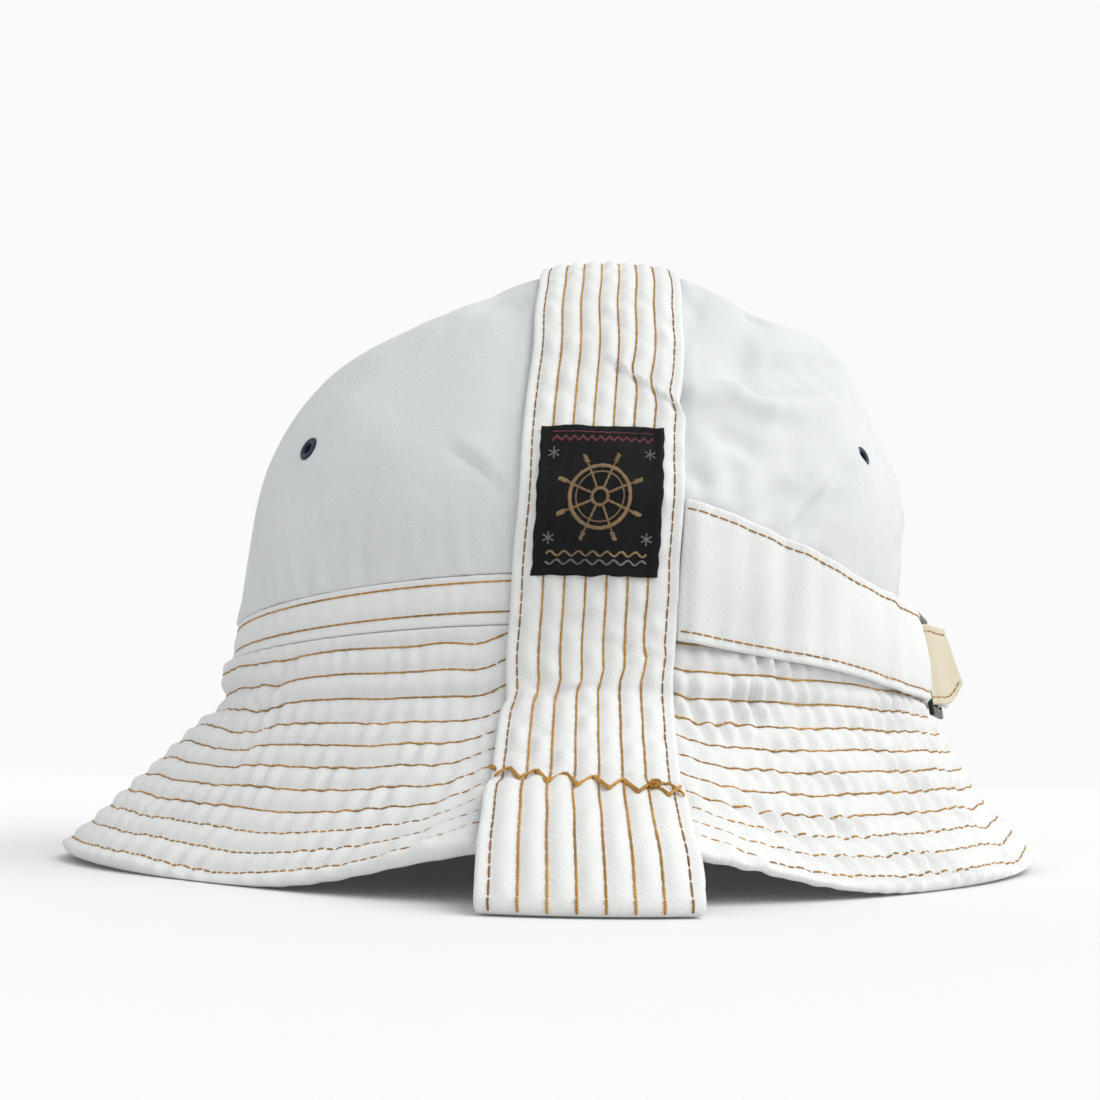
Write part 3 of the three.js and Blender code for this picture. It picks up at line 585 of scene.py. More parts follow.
    def strip_middle(self, height):
        """How far back the strip's middle plane lies at a height."""
        return self.axis + FOOT_SHIFT + STRIP_LEAN * height

    def aside(self, points):
        """How far behind the strip's middle plane points lie."""
        return points[..., 1] - self.strip_middle(points[..., 2])

    def bearing_beside(self, side, level, aside):
        """The bearing from an ear at which the surface lies aside of the strip's middle plane."""
        low = 0 * (level + aside) - math.pi / 2
        high = low + math.pi
        for _ in range(30):
            middle = (low + high) / 2
            angle = middle if side > 0 else math.pi - middle
            short = self.aside(self.points(angle, level)) < aside
            low = np.where(short, middle, low)
            high = np.where(short, high, middle)
        return (low + high) / 2


def crease_relief(creases, angle, height, reach):
    """Ridges and valleys along straight creases, on a cloth unrolled at a reach from the axis."""
    relief = 0 * (angle + height)
    for (start_turn, start_up), (end_turn, end_up), depth, half in creases:
        start = math.radians(start_turn)
        turn = np.arctan2(np.sin(angle - start), np.cos(angle - start)) * reach
        run = np.array([math.radians(end_turn - start_turn) * reach, end_up - start_up])
        length = np.hypot(*run)
        run /= length
        share = (turn * run[0] + (height - start_up) * run[1]) / length
        away = turn * -run[1] + (height - start_up) * run[0]
        bow = 0.0009 * np.sin(share * 3.3 + start_turn)
        ends = np.exp(-(np.clip(np.abs(share - 0.5) - 0.3, 0, None) * 4) ** 2)
        relief = relief - depth * ends * np.exp(-(((away + bow) / half) ** 2))
    return relief


def brim_wobble(angle, share):
    """How far a row strays from its place, as a share of the slant."""
    along, across = angle * BRIM_REACH, share * SLANT
    turned = np.abs(np.arctan2(np.sin(angle), np.cos(angle)))
    beside = np.minimum(turned, math.pi - turned)
    far = soft_step(*np.radians(ROW_RISE_DEGREES), beside)
    rise = (1 - far) * np.clip(0.02 + 0.08 * share, 0, ROW_RISE_LIMIT)
    past_fold = soft_step(*np.radians(FOLD_START_DEGREES), angle)
    past_fold = past_fold * soft_step(*np.radians(FOLD_END_DEGREES), angle)
    slip = FOLD_SLIP * past_fold * np.exp(-(((share - 0.33) / 0.17) ** 2))
    return 0.0045 * waves(along, across, 11, 0.018, 0.07, 0.6, 10) - rise + slip


def beside_strip(cap, points):
    """Zero under the strip and one beside it."""
    half = cap.sizes.strip_width / 2
    return soft_step(half - 0.001, half + 0.002, np.abs(cap.aside(points)))


def brim_relief(cap, angle, share, points):
    """How far the brim's cloth stands out: padded between the rows, pulled in at them, puckered."""
    sizes = cap.sizes
    along, across = angle * BRIM_REACH, share * SLANT
    row = (share - sizes.first_row - brim_wobble(angle, share)) / sizes.row_step
    nearest = np.clip(np.round(row), 0, sizes.brim_rows - 1)
    away = np.abs(row - nearest) * sizes.row_step * SLANT
    groove = np.exp(-((away / ROW_GROOVE) ** 2))
    pad = np.sin(math.pi * row) ** 2
    channel = np.floor(row)
    table = np.array(PUCKERS)
    depth = np.interp(np.degrees(angle), table[:, 0], table[:, 1])
    ribs = waves(along, across, 5, 0.0046, 0.0080, 0.30)
    local = waves(along, channel * 0.05, 7, 0.0040, 0.0120, 1.0, 12)
    pucker = depth * (0.55 + 0.45 * pad) * (0.85 * ribs + 0.12 * local * pad)
    broad = 0.0007 * waves(along, across, 9, 0.045, 0.12, 0.8, 8) * share
    fold = crease_relief(BRIM_CREASES, angle, points[..., 2], BRIM_REACH - 0.02)
    relief = -0.00050 * groove + 0.00042 * pad + pucker + broad + fold
    return relief * (0.15 + 0.85 * beside_strip(cap, points))


def brim_surface(cap, angle, share):
    """Points of the sewn brim's upper face, with normals."""
    level = cap.level_at_share(angle, share)
    points, normals = cap.points(angle, level), cap.normals(angle, level)
    relief = brim_relief(cap, angle, share, points)
    return settled(points + normals * relief[..., None]), normals


def brim_sheets(cap):
    """The brim's upper and lower faces, and the lengths of cloth for its map."""
    sizes = cap.sizes
    half = sizes.brim_wall / 2
    rim = half / SLANT * (1 - np.cos(np.linspace(0, math.pi / 2, RIM_STEPS)))
    spans = (0, 0.13, 0.3, 0.5, 0.7, 0.87)
    rows = [sizes.first_row + sizes.row_step * (k + s) for k in range(sizes.brim_rows - 1) for s in spans]
    last = sizes.first_row + sizes.row_step * (sizes.brim_rows - 1)
    hem = np.linspace(last, 1 - rim[-1], 5)[:-1]
    seam = SEAM_REACH / SLANT * (1 - np.cos(np.linspace(0, math.pi / 2, RIM_STEPS)))
    above = np.linspace(seam[-1], rows[0], 6)[1:-1]
    share = np.concatenate([seam, above, rows, hem, (1 - rim)[::-1]])
    angle = np.linspace(-math.pi, math.pi, 561)
    share, angle = np.meshgrid(np.sort(share), angle, indexing="ij")
    level = cap.level_at_share(angle, share)
    points, normals = cap.points(angle, level), cap.normals(angle, level)
    relief = brim_relief(cap, angle, share, points)
    swell = np.minimum(rounded(share * SLANT, half, SEAM_REACH), rounded((1 - share) * SLANT, half))
    middle = points - normals * half
    fullness = swell / half
    outer = middle + normals * (swell + relief * fullness)[..., None]
    inner = middle - normals * (swell - 0.5 * relief * fullness)[..., None]
    lengths = np.stack([angle * BRIM_REACH, share * SLANT], axis=-1)
    return settled(outer), settled(inner), lengths


def band_surface(cap, angle, share):
    """Points of the band's outer face, by share from the crease to the band's top, with normals."""
    level = CREASE + share
    points, normals = cap.points(angle, level), cap.normals(angle, level)
    return points + normals * band_relief(cap, angle, share, points)[..., None], normals


def band_relief(cap, angle, share, points):
    """How far the band's cloth stands out, pulled in at its two rows."""
    along, across = angle * BAND_REACH, share * cap.sizes.band_height
    low, high = BAND_ROWS
    groove = np.exp(-(((across - low) / ROW_GROOVE) ** 2)) + np.exp(-(((across - high) / 0.0008) ** 2))
    pad = np.sin(math.pi * np.clip((across - low) / (high - low), 0, 1)) ** 2
    pucker = waves(along, across, 21, 0.0036, 0.0085, 0.35)
    relief = -0.00035 * groove + 0.00022 * pad + 0.00016 * pucker * (0.4 + 0.6 * pad)
    return relief * (0.15 + 0.85 * beside_strip(cap, points))


def band_sheets(cap):
    """The band's outer and inner faces, and the lengths of cloth for its map."""
    sizes = cap.sizes
    half = sizes.band_wall / 2
    across = steps_with_rims(sizes.band_height - 2 * SEAM_GAP, 19, SEAM_REACH) + SEAM_GAP
    angle = np.linspace(-math.pi, math.pi, 541)
    share, angle = np.meshgrid(across / sizes.band_height, angle, indexing="ij")
    points, normals = cap.points(angle, CREASE + share), cap.normals(angle, CREASE + share)
    relief = band_relief(cap, angle, share, points)
    swell = rounded(np.minimum(share, 1 - share) * sizes.band_height - SEAM_GAP, half, SEAM_REACH)
    middle = points - normals * half
    outer = middle + normals * (swell + relief * swell / half)[..., None]
    inner = middle - normals * swell[..., None]
    return outer, inner, np.stack([angle * BAND_REACH, share * sizes.band_height], axis=-1)


def crown_relief(cap, angle, points):
    """Soft creases and gathers of the washed crown."""
    along, height = angle * CROWN_REACH, points[..., 2]
    seam = cap.sizes.crease_height + cap.sizes.band_height + cap.sizes.seam_side_rise * np.cos(angle) ** 2
    above = np.clip(height - seam, 0, None)
    gathers = waves(along, height, 31, 0.005, 0.011, 0.3) * np.exp(-above / 0.009)
    broad = crumple(along, height, 32, 0.035, 0.085)
    fine = crumple(along, height, 33, 0.009, 0.024)
    rumpled = 0.35 + 0.65 * soft_step(0.05, 0.3, angle)
    patches = soft_step(-0.4, 1.2, crumple(along, height, 34, 0.03, 0.07, 10))
    creases = crease_relief(CROWN_CREASES, angle, height, CROWN_REACH)
    half = cap.sizes.strip_width / 2
    allowance = np.exp(-(((np.abs(cap.aside(points)) - half - 0.0026) / 0.0013) ** 2))
    relief = 0.00036 * gathers + 0.0009 * broad * rumpled + 0.00034 * fine * rumpled * patches + creases
    tuck = -0.00035 * np.exp(-above / 0.0012)
    fade = soft_step(cap.height, cap.height - 0.02, height)
    return (relief * beside_strip(cap, points) + 0.00030 * allowance) * fade + tuck


def crown_sheets(cap, end):
    """The crown in front of the strip's middle plane (end -1) or behind it (end 1)."""
    sizes = cap.sizes
    half = sizes.crown_wall / 2
    run = steps_with_rims(sizes.crown_height, 96, half) / sizes.crown_height
    run = run[: -RIM_STEPS + 1]
    level = BAND_TOP + 0.002 + (APEX - BAND_TOP - 0.002) * run / run[-1]
    left = cap.bearing_beside(1, level, end * PANEL_GAP)
    right = math.pi - cap.bearing_beside(-1, level, end * PANEL_GAP)
    if end < 0:
        right = right - 2 * math.pi
    columns = steps_with_rims(1, 200, 0.003)
    angle = left[:, None] * (1 - columns[None, :]) + right[:, None] * columns[None, :]
    level = np.broadcast_to(level[:, None], angle.shape)
    points, normals = cap.points(angle, level), cap.normals(angle, level)
    relief = crown_relief(cap, angle, points)
    low = np.linalg.norm(points - points[:1], axis=-1)
    side = np.minimum(columns, 1 - columns)[None, :] * math.pi * sizes.head_half_width
    swell = np.minimum(rounded(low, half, SEAM_REACH), rounded(side, half) + 0 * low)
    middle = points - normals * half
    outer = middle + normals * (swell + relief * swell / half)[..., None]
    inner = middle - normals * (swell - relief * swell / half)[..., None]
    apex = middle[-1].mean(axis=0)
    outer[-1] = apex + np.array([0, 0, half])
    inner[-1] = apex - np.array([0, 0, half])
    return outer, inner, np.stack([angle * CROWN_REACH, points[..., 2] * 1.1], axis=-1)


def strip_bed(cap, asides):
    """Lines on the cap under the strip, from the left foot over the crown to the right foot."""
    levels = np.linspace(0, APEX, 241)
    sides = []
    for side in (1, -1):
        bearing = cap.bearing_beside(side, levels[:, None], asides[None, :])
        angle = bearing if side > 0 else math.pi - bearing
        points = cap.points(angle, levels[:, None] + 0 * angle)
        lines = []
        for j in range(len(asides)):
            over = np.flatnonzero(np.abs(bearing[:, j]) > math.pi / 2 - 0.01)
            line = points[: over[0] + 1 if len(over) else len(levels), j].copy()
            line[-1, 0] = 0
            edge = line[0]
            outward = unit(edge - line[6])
            floor = np.array([edge[0] + side * FOOT_OVERHANG, edge[1], FOOT_CLEARANCE])
            bend = edge + outward * 0.6 * FOOT_OVERHANG
            t = np.linspace(0, 1, 16)[:-1, None]
            foot = (1 - t) ** 2 * floor + 2 * t * (1 - t) * bend + t**2 * edge
            lines.append(np.concatenate([foot, line]))
        sides.append(lines)
    columns = [resampled(np.concatenate([a, b[::-1][1:]]), STRIP_ROWS) for a, b in zip(*sides)]
    return smoothed(np.stack(columns, axis=1), 5)


def fold_shapes(folds, side, aside, height):
    """Lift of the cloth's face and slide of the cloth at the folds of one side of the strip."""
    lift, slide = 0 * height, 0 * height
    for which, (a0, h0), (a1, h1), rise, shift, past in folds:
        if which != side:
            continue
        slope = (h1 - h0) / (a1 - a0)
        above = height - h0 - slope * (aside - a0)
        ends = soft_step(a0 - 0.003, a0 + 0.001, aside) * soft_step(a1 + 0.003, a1 - 0.001, aside)
        over = 1 / (1 + np.exp(-above / 0.00035))
        lip = over * np.exp(-np.clip(above, 0, None) / 0.004)
        under = (1 - over) * np.exp(-np.clip(-above, 0, None) / 0.0022)
        lift = lift + rise * ends * (lip - 0.4 * under)
        grip = soft_step(past - 0.001, past + 0.004, aside)
        over = 1 / (1 + np.exp(-above / 0.0006))
        slide = slide + shift * grip * over * np.exp(-np.clip(above, 0, None) / 0.0075)
        slide = slide - 0.35 * shift * grip * (1 - over) * np.exp(-np.clip(-above, 0, None) / 0.006)
    return lift, slide


def strip_sheets(cap):
    """The strip's two faces, its upper face's lengths, and where its rows lie."""
    sizes = cap.sizes
    half = sizes.strip_wall / 2
    width = sizes.strip_width
    asides = steps_with_rims(width, 49, half) - width / 2
    bed = strip_bed(cap, asides)
    normals = grid_normals(bed)
    run = run_along(bed[:, len(asides) // 2])
    from_foot = np.minimum(run, run[-1] - run)[:, None]
    seat, lap = STRIP_SEAT + half, sizes.strip_wall + LAP_GAP
    single = soft_step(0.031, 0.040, from_foot)
    upper = bed + normals * (seat + lap * (1 - single))[..., None]
    side = np.where(np.arange(STRIP_ROWS) < STRIP_ROWS // 2, 1, -1)[:, None]
    height = upper[..., 2]
    aside = asides[None, :] + 0 * height
    across = unit(np.gradient(upper, axis=1))
    lift_left, slide_left = fold_shapes(STRIP_FOLDS, 1, aside, height)
    lift_right, slide_right = fold_shapes(STRIP_FOLDS, -1, aside, height)
    lift = np.where(side > 0, lift_left, lift_right)
    slide = np.where(side > 0, slide_left, slide_right)
    along = run[:, None] + 0 * aside
    slide = slide + 0.00022 * waves(along, aside, 41, 0.012, 0.05, 0.5, 10)
    widen = -0.02 * (1 - soft_step(0.0, 0.045, from_foot))
    upper = upper + across * (slide + aside * widen)[..., None]
    line = (aside + width / 2) / sizes.line_step - (width / sizes.line_step - sizes.strip_lines + 1) / 2
    nearest = np.clip(np.round(line), 0, sizes.strip_lines - 1)
    away = np.abs(line - nearest) * sizes.line_step
    pad = np.where((line > 0) & (line < sizes.strip_lines - 1), np.sin(math.pi * line) ** 2, 0.15)
    ripple = waves(along, aside, 42, 0.0055, 0.013, 0.7)
    local = waves(along, np.floor(line) * 0.05, 43, 0.006, 0.016, 1.0, 12)
    calm = 0.35 + 0.65 * soft_step(0.02, 0.05, from_foot)
    relief = -0.00042 * np.exp(-((away / ROW_GROOVE) ** 2)) + 0.00030 * pad
    relief = relief + calm * (0.00022 * ripple * (0.4 + 0.6 * pad) + 0.00020 * local * pad) + lift
    head = turned_end(upper, normals, 0, 1, lap)
    tail = turned_end(upper, normals, -1, -2, lap)
    middle = np.concatenate([head[::-1], upper, tail])
    middle = smoothed(middle, 3)
    facing = grid_normals(middle)
    shown = np.concatenate([np.zeros(len(head)), np.ones(STRIP_ROWS), np.zeros(len(tail))])
    relief = np.pad(relief, ((len(head), len(tail)), (0, 0)))
    eased = soft_step(0, 1, np.convolve(shown, np.ones(9) / 9, mode="same"))[:, None]
    rows = np.arange(len(middle))
    from_end = np.minimum(rows, rows[::-1])[:, None] * (run[1] - run[0])
    edge = np.minimum(aside[0] + width / 2, width / 2 - aside[0])[None, :]
    swell = np.minimum(rounded(from_end, half), rounded(edge, half) + 0 * from_end)
    outer = settled(middle + facing * (swell + relief * eased * swell / half)[..., None])
    inner = settled(middle - facing * swell[..., None])
    lengths = np.stack(np.meshgrid(asides, rows * (run[1] - run[0])), axis=-1)
    return {
        "outer": outer,
        "inner": inner,
        "lengths": lengths,
        "facing": facing,
        "asides": asides,
        "first": len(head),
    }


def turned_end(upper, normals, end, before, lap):
    """The rows past an end of the strip: round the fold, and back under it as far as the tack."""
    forward = unit(upper[end] - upper[before])
    centre = upper[end] - normals[end] * lap / 2
    rows = []
    for share in np.linspace(0, 1, TURN_STEPS + 2)[1:-1]:
        up, out = math.cos(math.pi * share), math.sin(math.pi * share)
        rows.append(centre + normals[end] * lap / 2 * up + forward * lap / 2 * out)
    shift = np.array([0, 0.0012, 0])
    step = 1 if end == 0 else -1
    for k in range(TURNED_ROWS):
        i = end + step * k
        ease = min(1, k / 4)
        rows.append(upper[i] - normals[i] * lap + shift * ease)
    return np.stack(rows)


def strip_line(strip, aside):
    """The strip's upper face along one line of cloth, with its normals."""
    asides = strip["asides"]
    j = int(np.clip(np.searchsorted(asides, aside) - 1, 0, len(asides) - 2))
    share = (aside - asides[j]) / (asides[j + 1] - asides[j])
    rows = slice(strip["first"] - 3, strip["first"] + STRIP_ROWS + 3)
    outer, facing = strip["outer"][rows], strip["facing"][rows]
    line = outer[:, j] * (1 - share) + outer[:, j + 1] * share
    return line, unit(facing[:, j] * (1 - share) + facing[:, j + 1] * share)


def strip_place(strip, side, aside, height):
    """A point of the strip's upper face on one side of the cap, with its normal."""
    line, facing = strip_line(strip, aside)
    half = len(line) // 2
    if side < 0:
        line, facing = line[::-1], facing[::-1]
    line, facing = line[:half], facing[:half]
    start = int(np.argmin(line[:20, 2]))
    i = start + int(np.argmax(line[start:, 2] > height))
    share = (height - line[i - 1, 2]) / max(line[i, 2] - line[i - 1, 2], 1e-9)
    share = min(max(share, 0), 1)
    return line[i - 1] * (1 - share) + line[i] * share, facing[i]


def label_place(cap, aside, height, distance):
    """Points over the strip at a distance from the cap's surface."""
    angle = 0 * (aside + height)
    for _ in range(14):
        level = cap.level_at_height(angle, height)
        short = cap.strip_middle(height) + aside - cap.points(angle, level)[..., 1]
        angle = angle + short / cap.sizes.head_half_width
    level = cap.level_at_height(angle, height)
    return cap.offset(angle, level, distance), cap.normals(angle, level)


def label_relief(aside, height):
    """How far the label's face stands out."""
    creased = 0.00022 * crumple(aside, height, 51, 0.008, 0.022)
    return creased + 0.00006 * waves(aside, height, 52, 0.002, 0.005, 0.4)


def label_spot(cap, x, y, rise):
    """A point on the label's face, by distance from the label's middle line and lower edge."""
    x, y = np.asarray(x, float), np.asarray(y, float)
    distance = LABEL_SEAT + LABEL_WALL + label_relief(x, y) + rise
    return label_place(cap, x - LABEL_SHIFT, cap.sizes.label_foot + y, distance)


def label_sheets(cap):
    """The label's outer and inner faces, and the lengths of cloth for its map."""
    sizes = cap.sizes
    half = LABEL_WALL / 2
    x = steps_with_rims(sizes.label_width, 56, half) - sizes.label_width / 2
    y = steps_with_rims(sizes.label_height, 68, half)
    y, x = np.meshgrid(y, x, indexing="ij")
    side = np.minimum(x + sizes.label_width / 2, sizes.label_width / 2 - x)
    end = np.minimum(y, sizes.label_height - y)
    swell = np.minimum(rounded(side, half), rounded(end, half))
    ragged_x = 0.00011 * waves(y, x, 53, 0.004, 0.014, 0.1) * np.exp(-side / 0.002) * np.sign(x)
    ragged_y = 0.00011 * waves(x, y, 54, 0.004, 0.014, 0.1) * np.exp(-end / 0.002)
    hem = 0.00016 * np.exp(-((np.minimum(side, end) - 0.0008) / 0.0006) ** 2)
    middle = LABEL_SEAT + half
    relief = (label_relief(x, y) + hem) * swell / half
    place_x, place_y = x + ragged_x - LABEL_SHIFT, sizes.label_foot + y + ragged_y
    outer, _ = label_place(cap, place_x, place_y, middle + swell + relief)
    inner, _ = label_place(cap, place_x, place_y, middle - swell + relief)
    return outer, inner, np.stack([x, y], axis=-1)


class BuckleFrame:
    """The slide buckle's directions and middle."""

    def __init__(self, cap):
        turn, tilt = math.radians(BUCKLE_TURN), math.radians(BUCKLE_TILT)
        self.across = np.array([math.cos(turn), -math.sin(turn), 0])
        level = np.array([math.sin(turn), math.cos(turn), 0])
        self.up = np.array([0, 0, math.cos(tilt)]) - level * math.sin(tilt)
        self.out = -np.cross(self.across, self.up)
        angle = np.array(math.pi / 2)
        rear = cap.points(angle, cap.level_at_height(angle, STRAP_HEIGHT))
        self.centre = rear + np.array([BUCKLE_SHIFT, BUCKLE_STAND, 0])

    def at(self, aside, out, up):
        """A point by its distances from the buckle's middle."""
        return self.centre + self.across * aside + self.out * out + self.up * up


def strap_start(cap, side, height):
    """Where the strap comes out from under the strip's rear edge, at one height."""
    aside = cap.strip_middle(height) + cap.sizes.strip_width / 2 + STRAP_MARGIN
    bearing = np.array(0.0)
    for _ in range(30):
        angle = bearing if side > 0 else math.pi - bearing
        level = cap.level_at_height(angle, height)
        bearing = bearing + (aside - cap.points(angle, level)[1]) / cap.sizes.head_half_width
    angle = bearing if side > 0 else math.pi - bearing
    point = cap.points(angle, cap.level_at_height(angle, height))
    return point + np.array([side * (STRAP_SEAT + cap.sizes.strap_wall / 2), 0, 0])


def strap_stations(cap, side):
    """Pairs of points on the strap's lower and upper edges, from the strip to its end."""
    sizes = cap.sizes
    half = (STRAP_END_WIDTH + STRAP_EXTRA_WIDTH) / 2
    top = STRAP_HEIGHT + STRAP_RISE
    pairs = [(strap_start(cap, side, top - half), strap_start(cap, side, top + half))]
    for around, raise_share, widen, stand in STRAP_STATIONS:
        bearing = math.radians(around)
        angle = np.array(bearing if side > 0 else math.pi - bearing)
        middle = STRAP_HEIGHT + raise_share * STRAP_RISE
        half = (STRAP_END_WIDTH + widen * STRAP_EXTRA_WIDTH) / 2
        distance = STRAP_SEAT + stand * STRAP_STAND + sizes.strap_wall / 2
        outward = np.array([math.cos(angle), math.sin(angle), 0])
        pair = []
        for height in (middle - half, middle + half):
            pair.append(cap.points(angle, cap.level_at_height(angle, height)) + outward * distance)
        pairs.append(tuple(pair))
    slide = BuckleFrame(cap)
    half = STRAP_END_WIDTH / 2
    wall = sizes.strap_wall
    over_bar = BUCKLE_THICKNESS / 2 + BUCKLE_EASE + wall / 2
    beside_bar = BUCKLE_BAR / 2 + BUCKLE_EASE + wall / 2
    over_loop = over_bar + wall + LAYER_GAP
    far = -BUCKLE_PITCH
    if side > 0:
        places = [
            (BUCKLE_PITCH + BUCKLE_BAR / 2, -over_bar, 0),
            (BUCKLE_PITCH - BUCKLE_BAR / 2, -over_bar, 0),
            (BUCKLE_BAR / 2, over_bar, 0),
            (-BUCKLE_BAR / 2, over_bar, 0),
            (far + beside_bar + wall / 2, over_loop - BUCKLE_EASE, 0.15),
            (far, over_loop, 0.5),
            (far - STRAP_TAIL, over_loop + BUCKLE_EASE, 1),
        ]
    else:
        turns = [math.radians(degrees) for degrees in (-90, -45, 0, 45, 90)]
        places = [(far + beside_bar * math.cos(a), over_bar * math.sin(a), 0) for a in turns]
        places.append((far - STRAP_LAP, over_bar - wall / 2, 0))
    for aside, out, turned in places:
        low = slide.at(aside, out + turned * TAIL_TWIST, turned * TAIL_RAISE - half)
        pairs.append((low, slide.at(aside, out, half)))
    return np.array(pairs)


def curve_through(points, steps):
    """A smooth curve through points, with even steps between each two of them."""
    points = np.concatenate([[2 * points[0] - points[1]], points, [2 * points[-1] - points[-2]]])
    curve = []
    for i in range(1, len(points) - 2):
        a, b, c, d = points[i - 1 : i + 3]
        gaps = [max(np.linalg.norm(q - p) ** 0.5, 1e-6) for p, q in ((a, b), (b, c), (c, d))]
        first = (b - a) / gaps[0] - (c - a) / (gaps[0] + gaps[1]) + (c - b) / gaps[1]
        second = (c - b) / gaps[1] - (d - b) / (gaps[1] + gaps[2]) + (d - c) / gaps[2]
        first, second = first * gaps[1], second * gaps[1]
        t = np.arange(steps)[:, None] / steps
        cubic = (2 * b - 2 * c + first + second) * t**3
        curve.append(cubic + (-3 * b + 3 * c - 2 * first - second) * t**2 + first * t + b)
    return np.concatenate([*curve, points[-2:-1]])


def strap_sheets(cap, side):
    """The faces of one half of the strap, and what its rows need to be laid on it."""
    sizes = cap.sizes
    half = sizes.strap_wall / 2
    pairs = strap_stations(cap, side)
    low, high = curve_through(pairs[:, 0], 24), curve_through(pairs[:, 1], 24)
    both = np.concatenate([(low + high) / 2, low, high], axis=1)
    even = resampled(both, STRAP_ROWS)
    low, high = even[:, 3:6], even[:, 6:9]
    across = steps_with_rims(1, 26, half / STRAP_END_WIDTH)
    middle = low[:, None] * (1 - across[None, :, None]) + high[:, None] * across[None, :, None]
    facing = grid_normals(middle) * -side
    run = run_along(even[:, :3])[:, None]
    width = np.linalg.norm(high - low, axis=1)[:, None]
    y = across[None, :] * width
    x = run + 0 * y
    edge = np.minimum(across, 1 - across)[None, :] * width
    from_end = np.minimum(run, run[-1] - run)
    swell = np.minimum(rounded(edge, half), rounded(from_end, half) + 0 * edge)
    groove = np.exp(-(((edge - STRAP_ROW_INSET) / 0.0008) ** 2))
    puckers = waves(x, y, 61 + side, 0.008, 0.018, 0.25, 12)
    depth = 0.00012 + 0.0003 * np.exp(-x / 0.03) + 0.00012 * soft_step(0.05, 0.09, x)
    lie = soft_step(0, 0.004, run) * soft_step(0.135, 0.11, run)
    bow = 0.0006 * np.sin(math.pi * across)[None, :] * lie
    sway = 0.0004 * crumple(x, y, 71 + side, 0.02, 0.05) * lie
    fine = waves(x, y, 81 + side, 0.003, 0.006, 0.3, 12) * np.exp(-edge / 0.004)
    middle = middle + facing * (bow + sway + depth * puckers * lie)[..., None]
    facing = grid_normals(middle) * -side
    relief = (-0.0003 * groove + 0.00009 * fine) * swell / half
    outer = middle + facing * (swell + relief)[..., None]
    inner = middle - facing * swell[..., None]
    lengths = np.stack([x, y], axis=-1)
    return {
        "outer": outer,
        "inner": inner,
        "lengths": lengths,
        "facing": facing,
        "across": across,
        "width": width[:, 0],
    }


def select_only(active, *others):
    """Select these pieces and nothing else."""
    bpy.ops.object.select_all(action="DESELECT")
    for piece in (active, *others):
        piece.select_set(True)
    bpy.context.view_layer.objects.active = active


def face_outward(doubles=None):
    """Turn the active piece's faces outward, once its doubles are merged."""
    bpy.ops.object.mode_set(mode="EDIT")
    bpy.ops.mesh.select_all(action="SELECT")
    if doubles is not None:
        bpy.ops.mesh.remove_doubles(threshold=doubles)
    bpy.ops.mesh.normals_make_consistent(inside=False)
    bpy.ops.object.mode_set(mode="OBJECT")


def laid(name, points, lengths):
    """A grid whose corners are laid on a grid of points, with the cloth's lengths as its map."""
    rows, columns = points.shape[:2]
    bpy.ops.object.select_all(action="DESELECT")
    bpy.ops.mesh.primitive_grid_add(x_subdivisions=columns - 1, y_subdivisions=rows - 1, size=1)
    piece = bpy.context.active_object
    piece.name = name
    mesh = piece.data
    flat = np.empty(len(mesh.vertices) * 3)
    mesh.vertices.foreach_get("co", flat)
    share = flat.reshape(-1, 3)[:, :2] + 0.5
    j = np.rint(share[:, 0] * (columns - 1)).astype(int)
    i = np.rint(share[:, 1] * (rows - 1)).astype(int)
    mesh.vertices.foreach_set("co", points[i, j].ravel())
    corners = np.empty(len(mesh.loops), int)
    mesh.loops.foreach_get("vertex_index", corners)
    layer = mesh.uv_layers.active or mesh.uv_layers.new()
    layer.name = "Cloth"
    layer.data.foreach_set("uv", (lengths[i, j][corners] / CLOTH_UNIT).ravel())
    mesh.update()
    return piece


def cloth(name, outer, inner, lengths):
    """A closed cloth between an outer and an inner face that meet at its rims."""
    face = laid(name, outer, lengths)
    back = laid(name + "_back", inner, lengths)
    select_only(face, back)
    bpy.ops.object.join()
    face_outward(0.000004)
    bpy.ops.object.shade_smooth()
    return face


def finished(piece, finish, slot, *nodes):
    """Give a piece its finish, let it ride on the cap, and put it in the place of its solids."""
    piece.data.materials.clear()
    piece.data.materials.append(finish)
    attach(piece, "root")
    if nodes:
        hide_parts(*nodes)


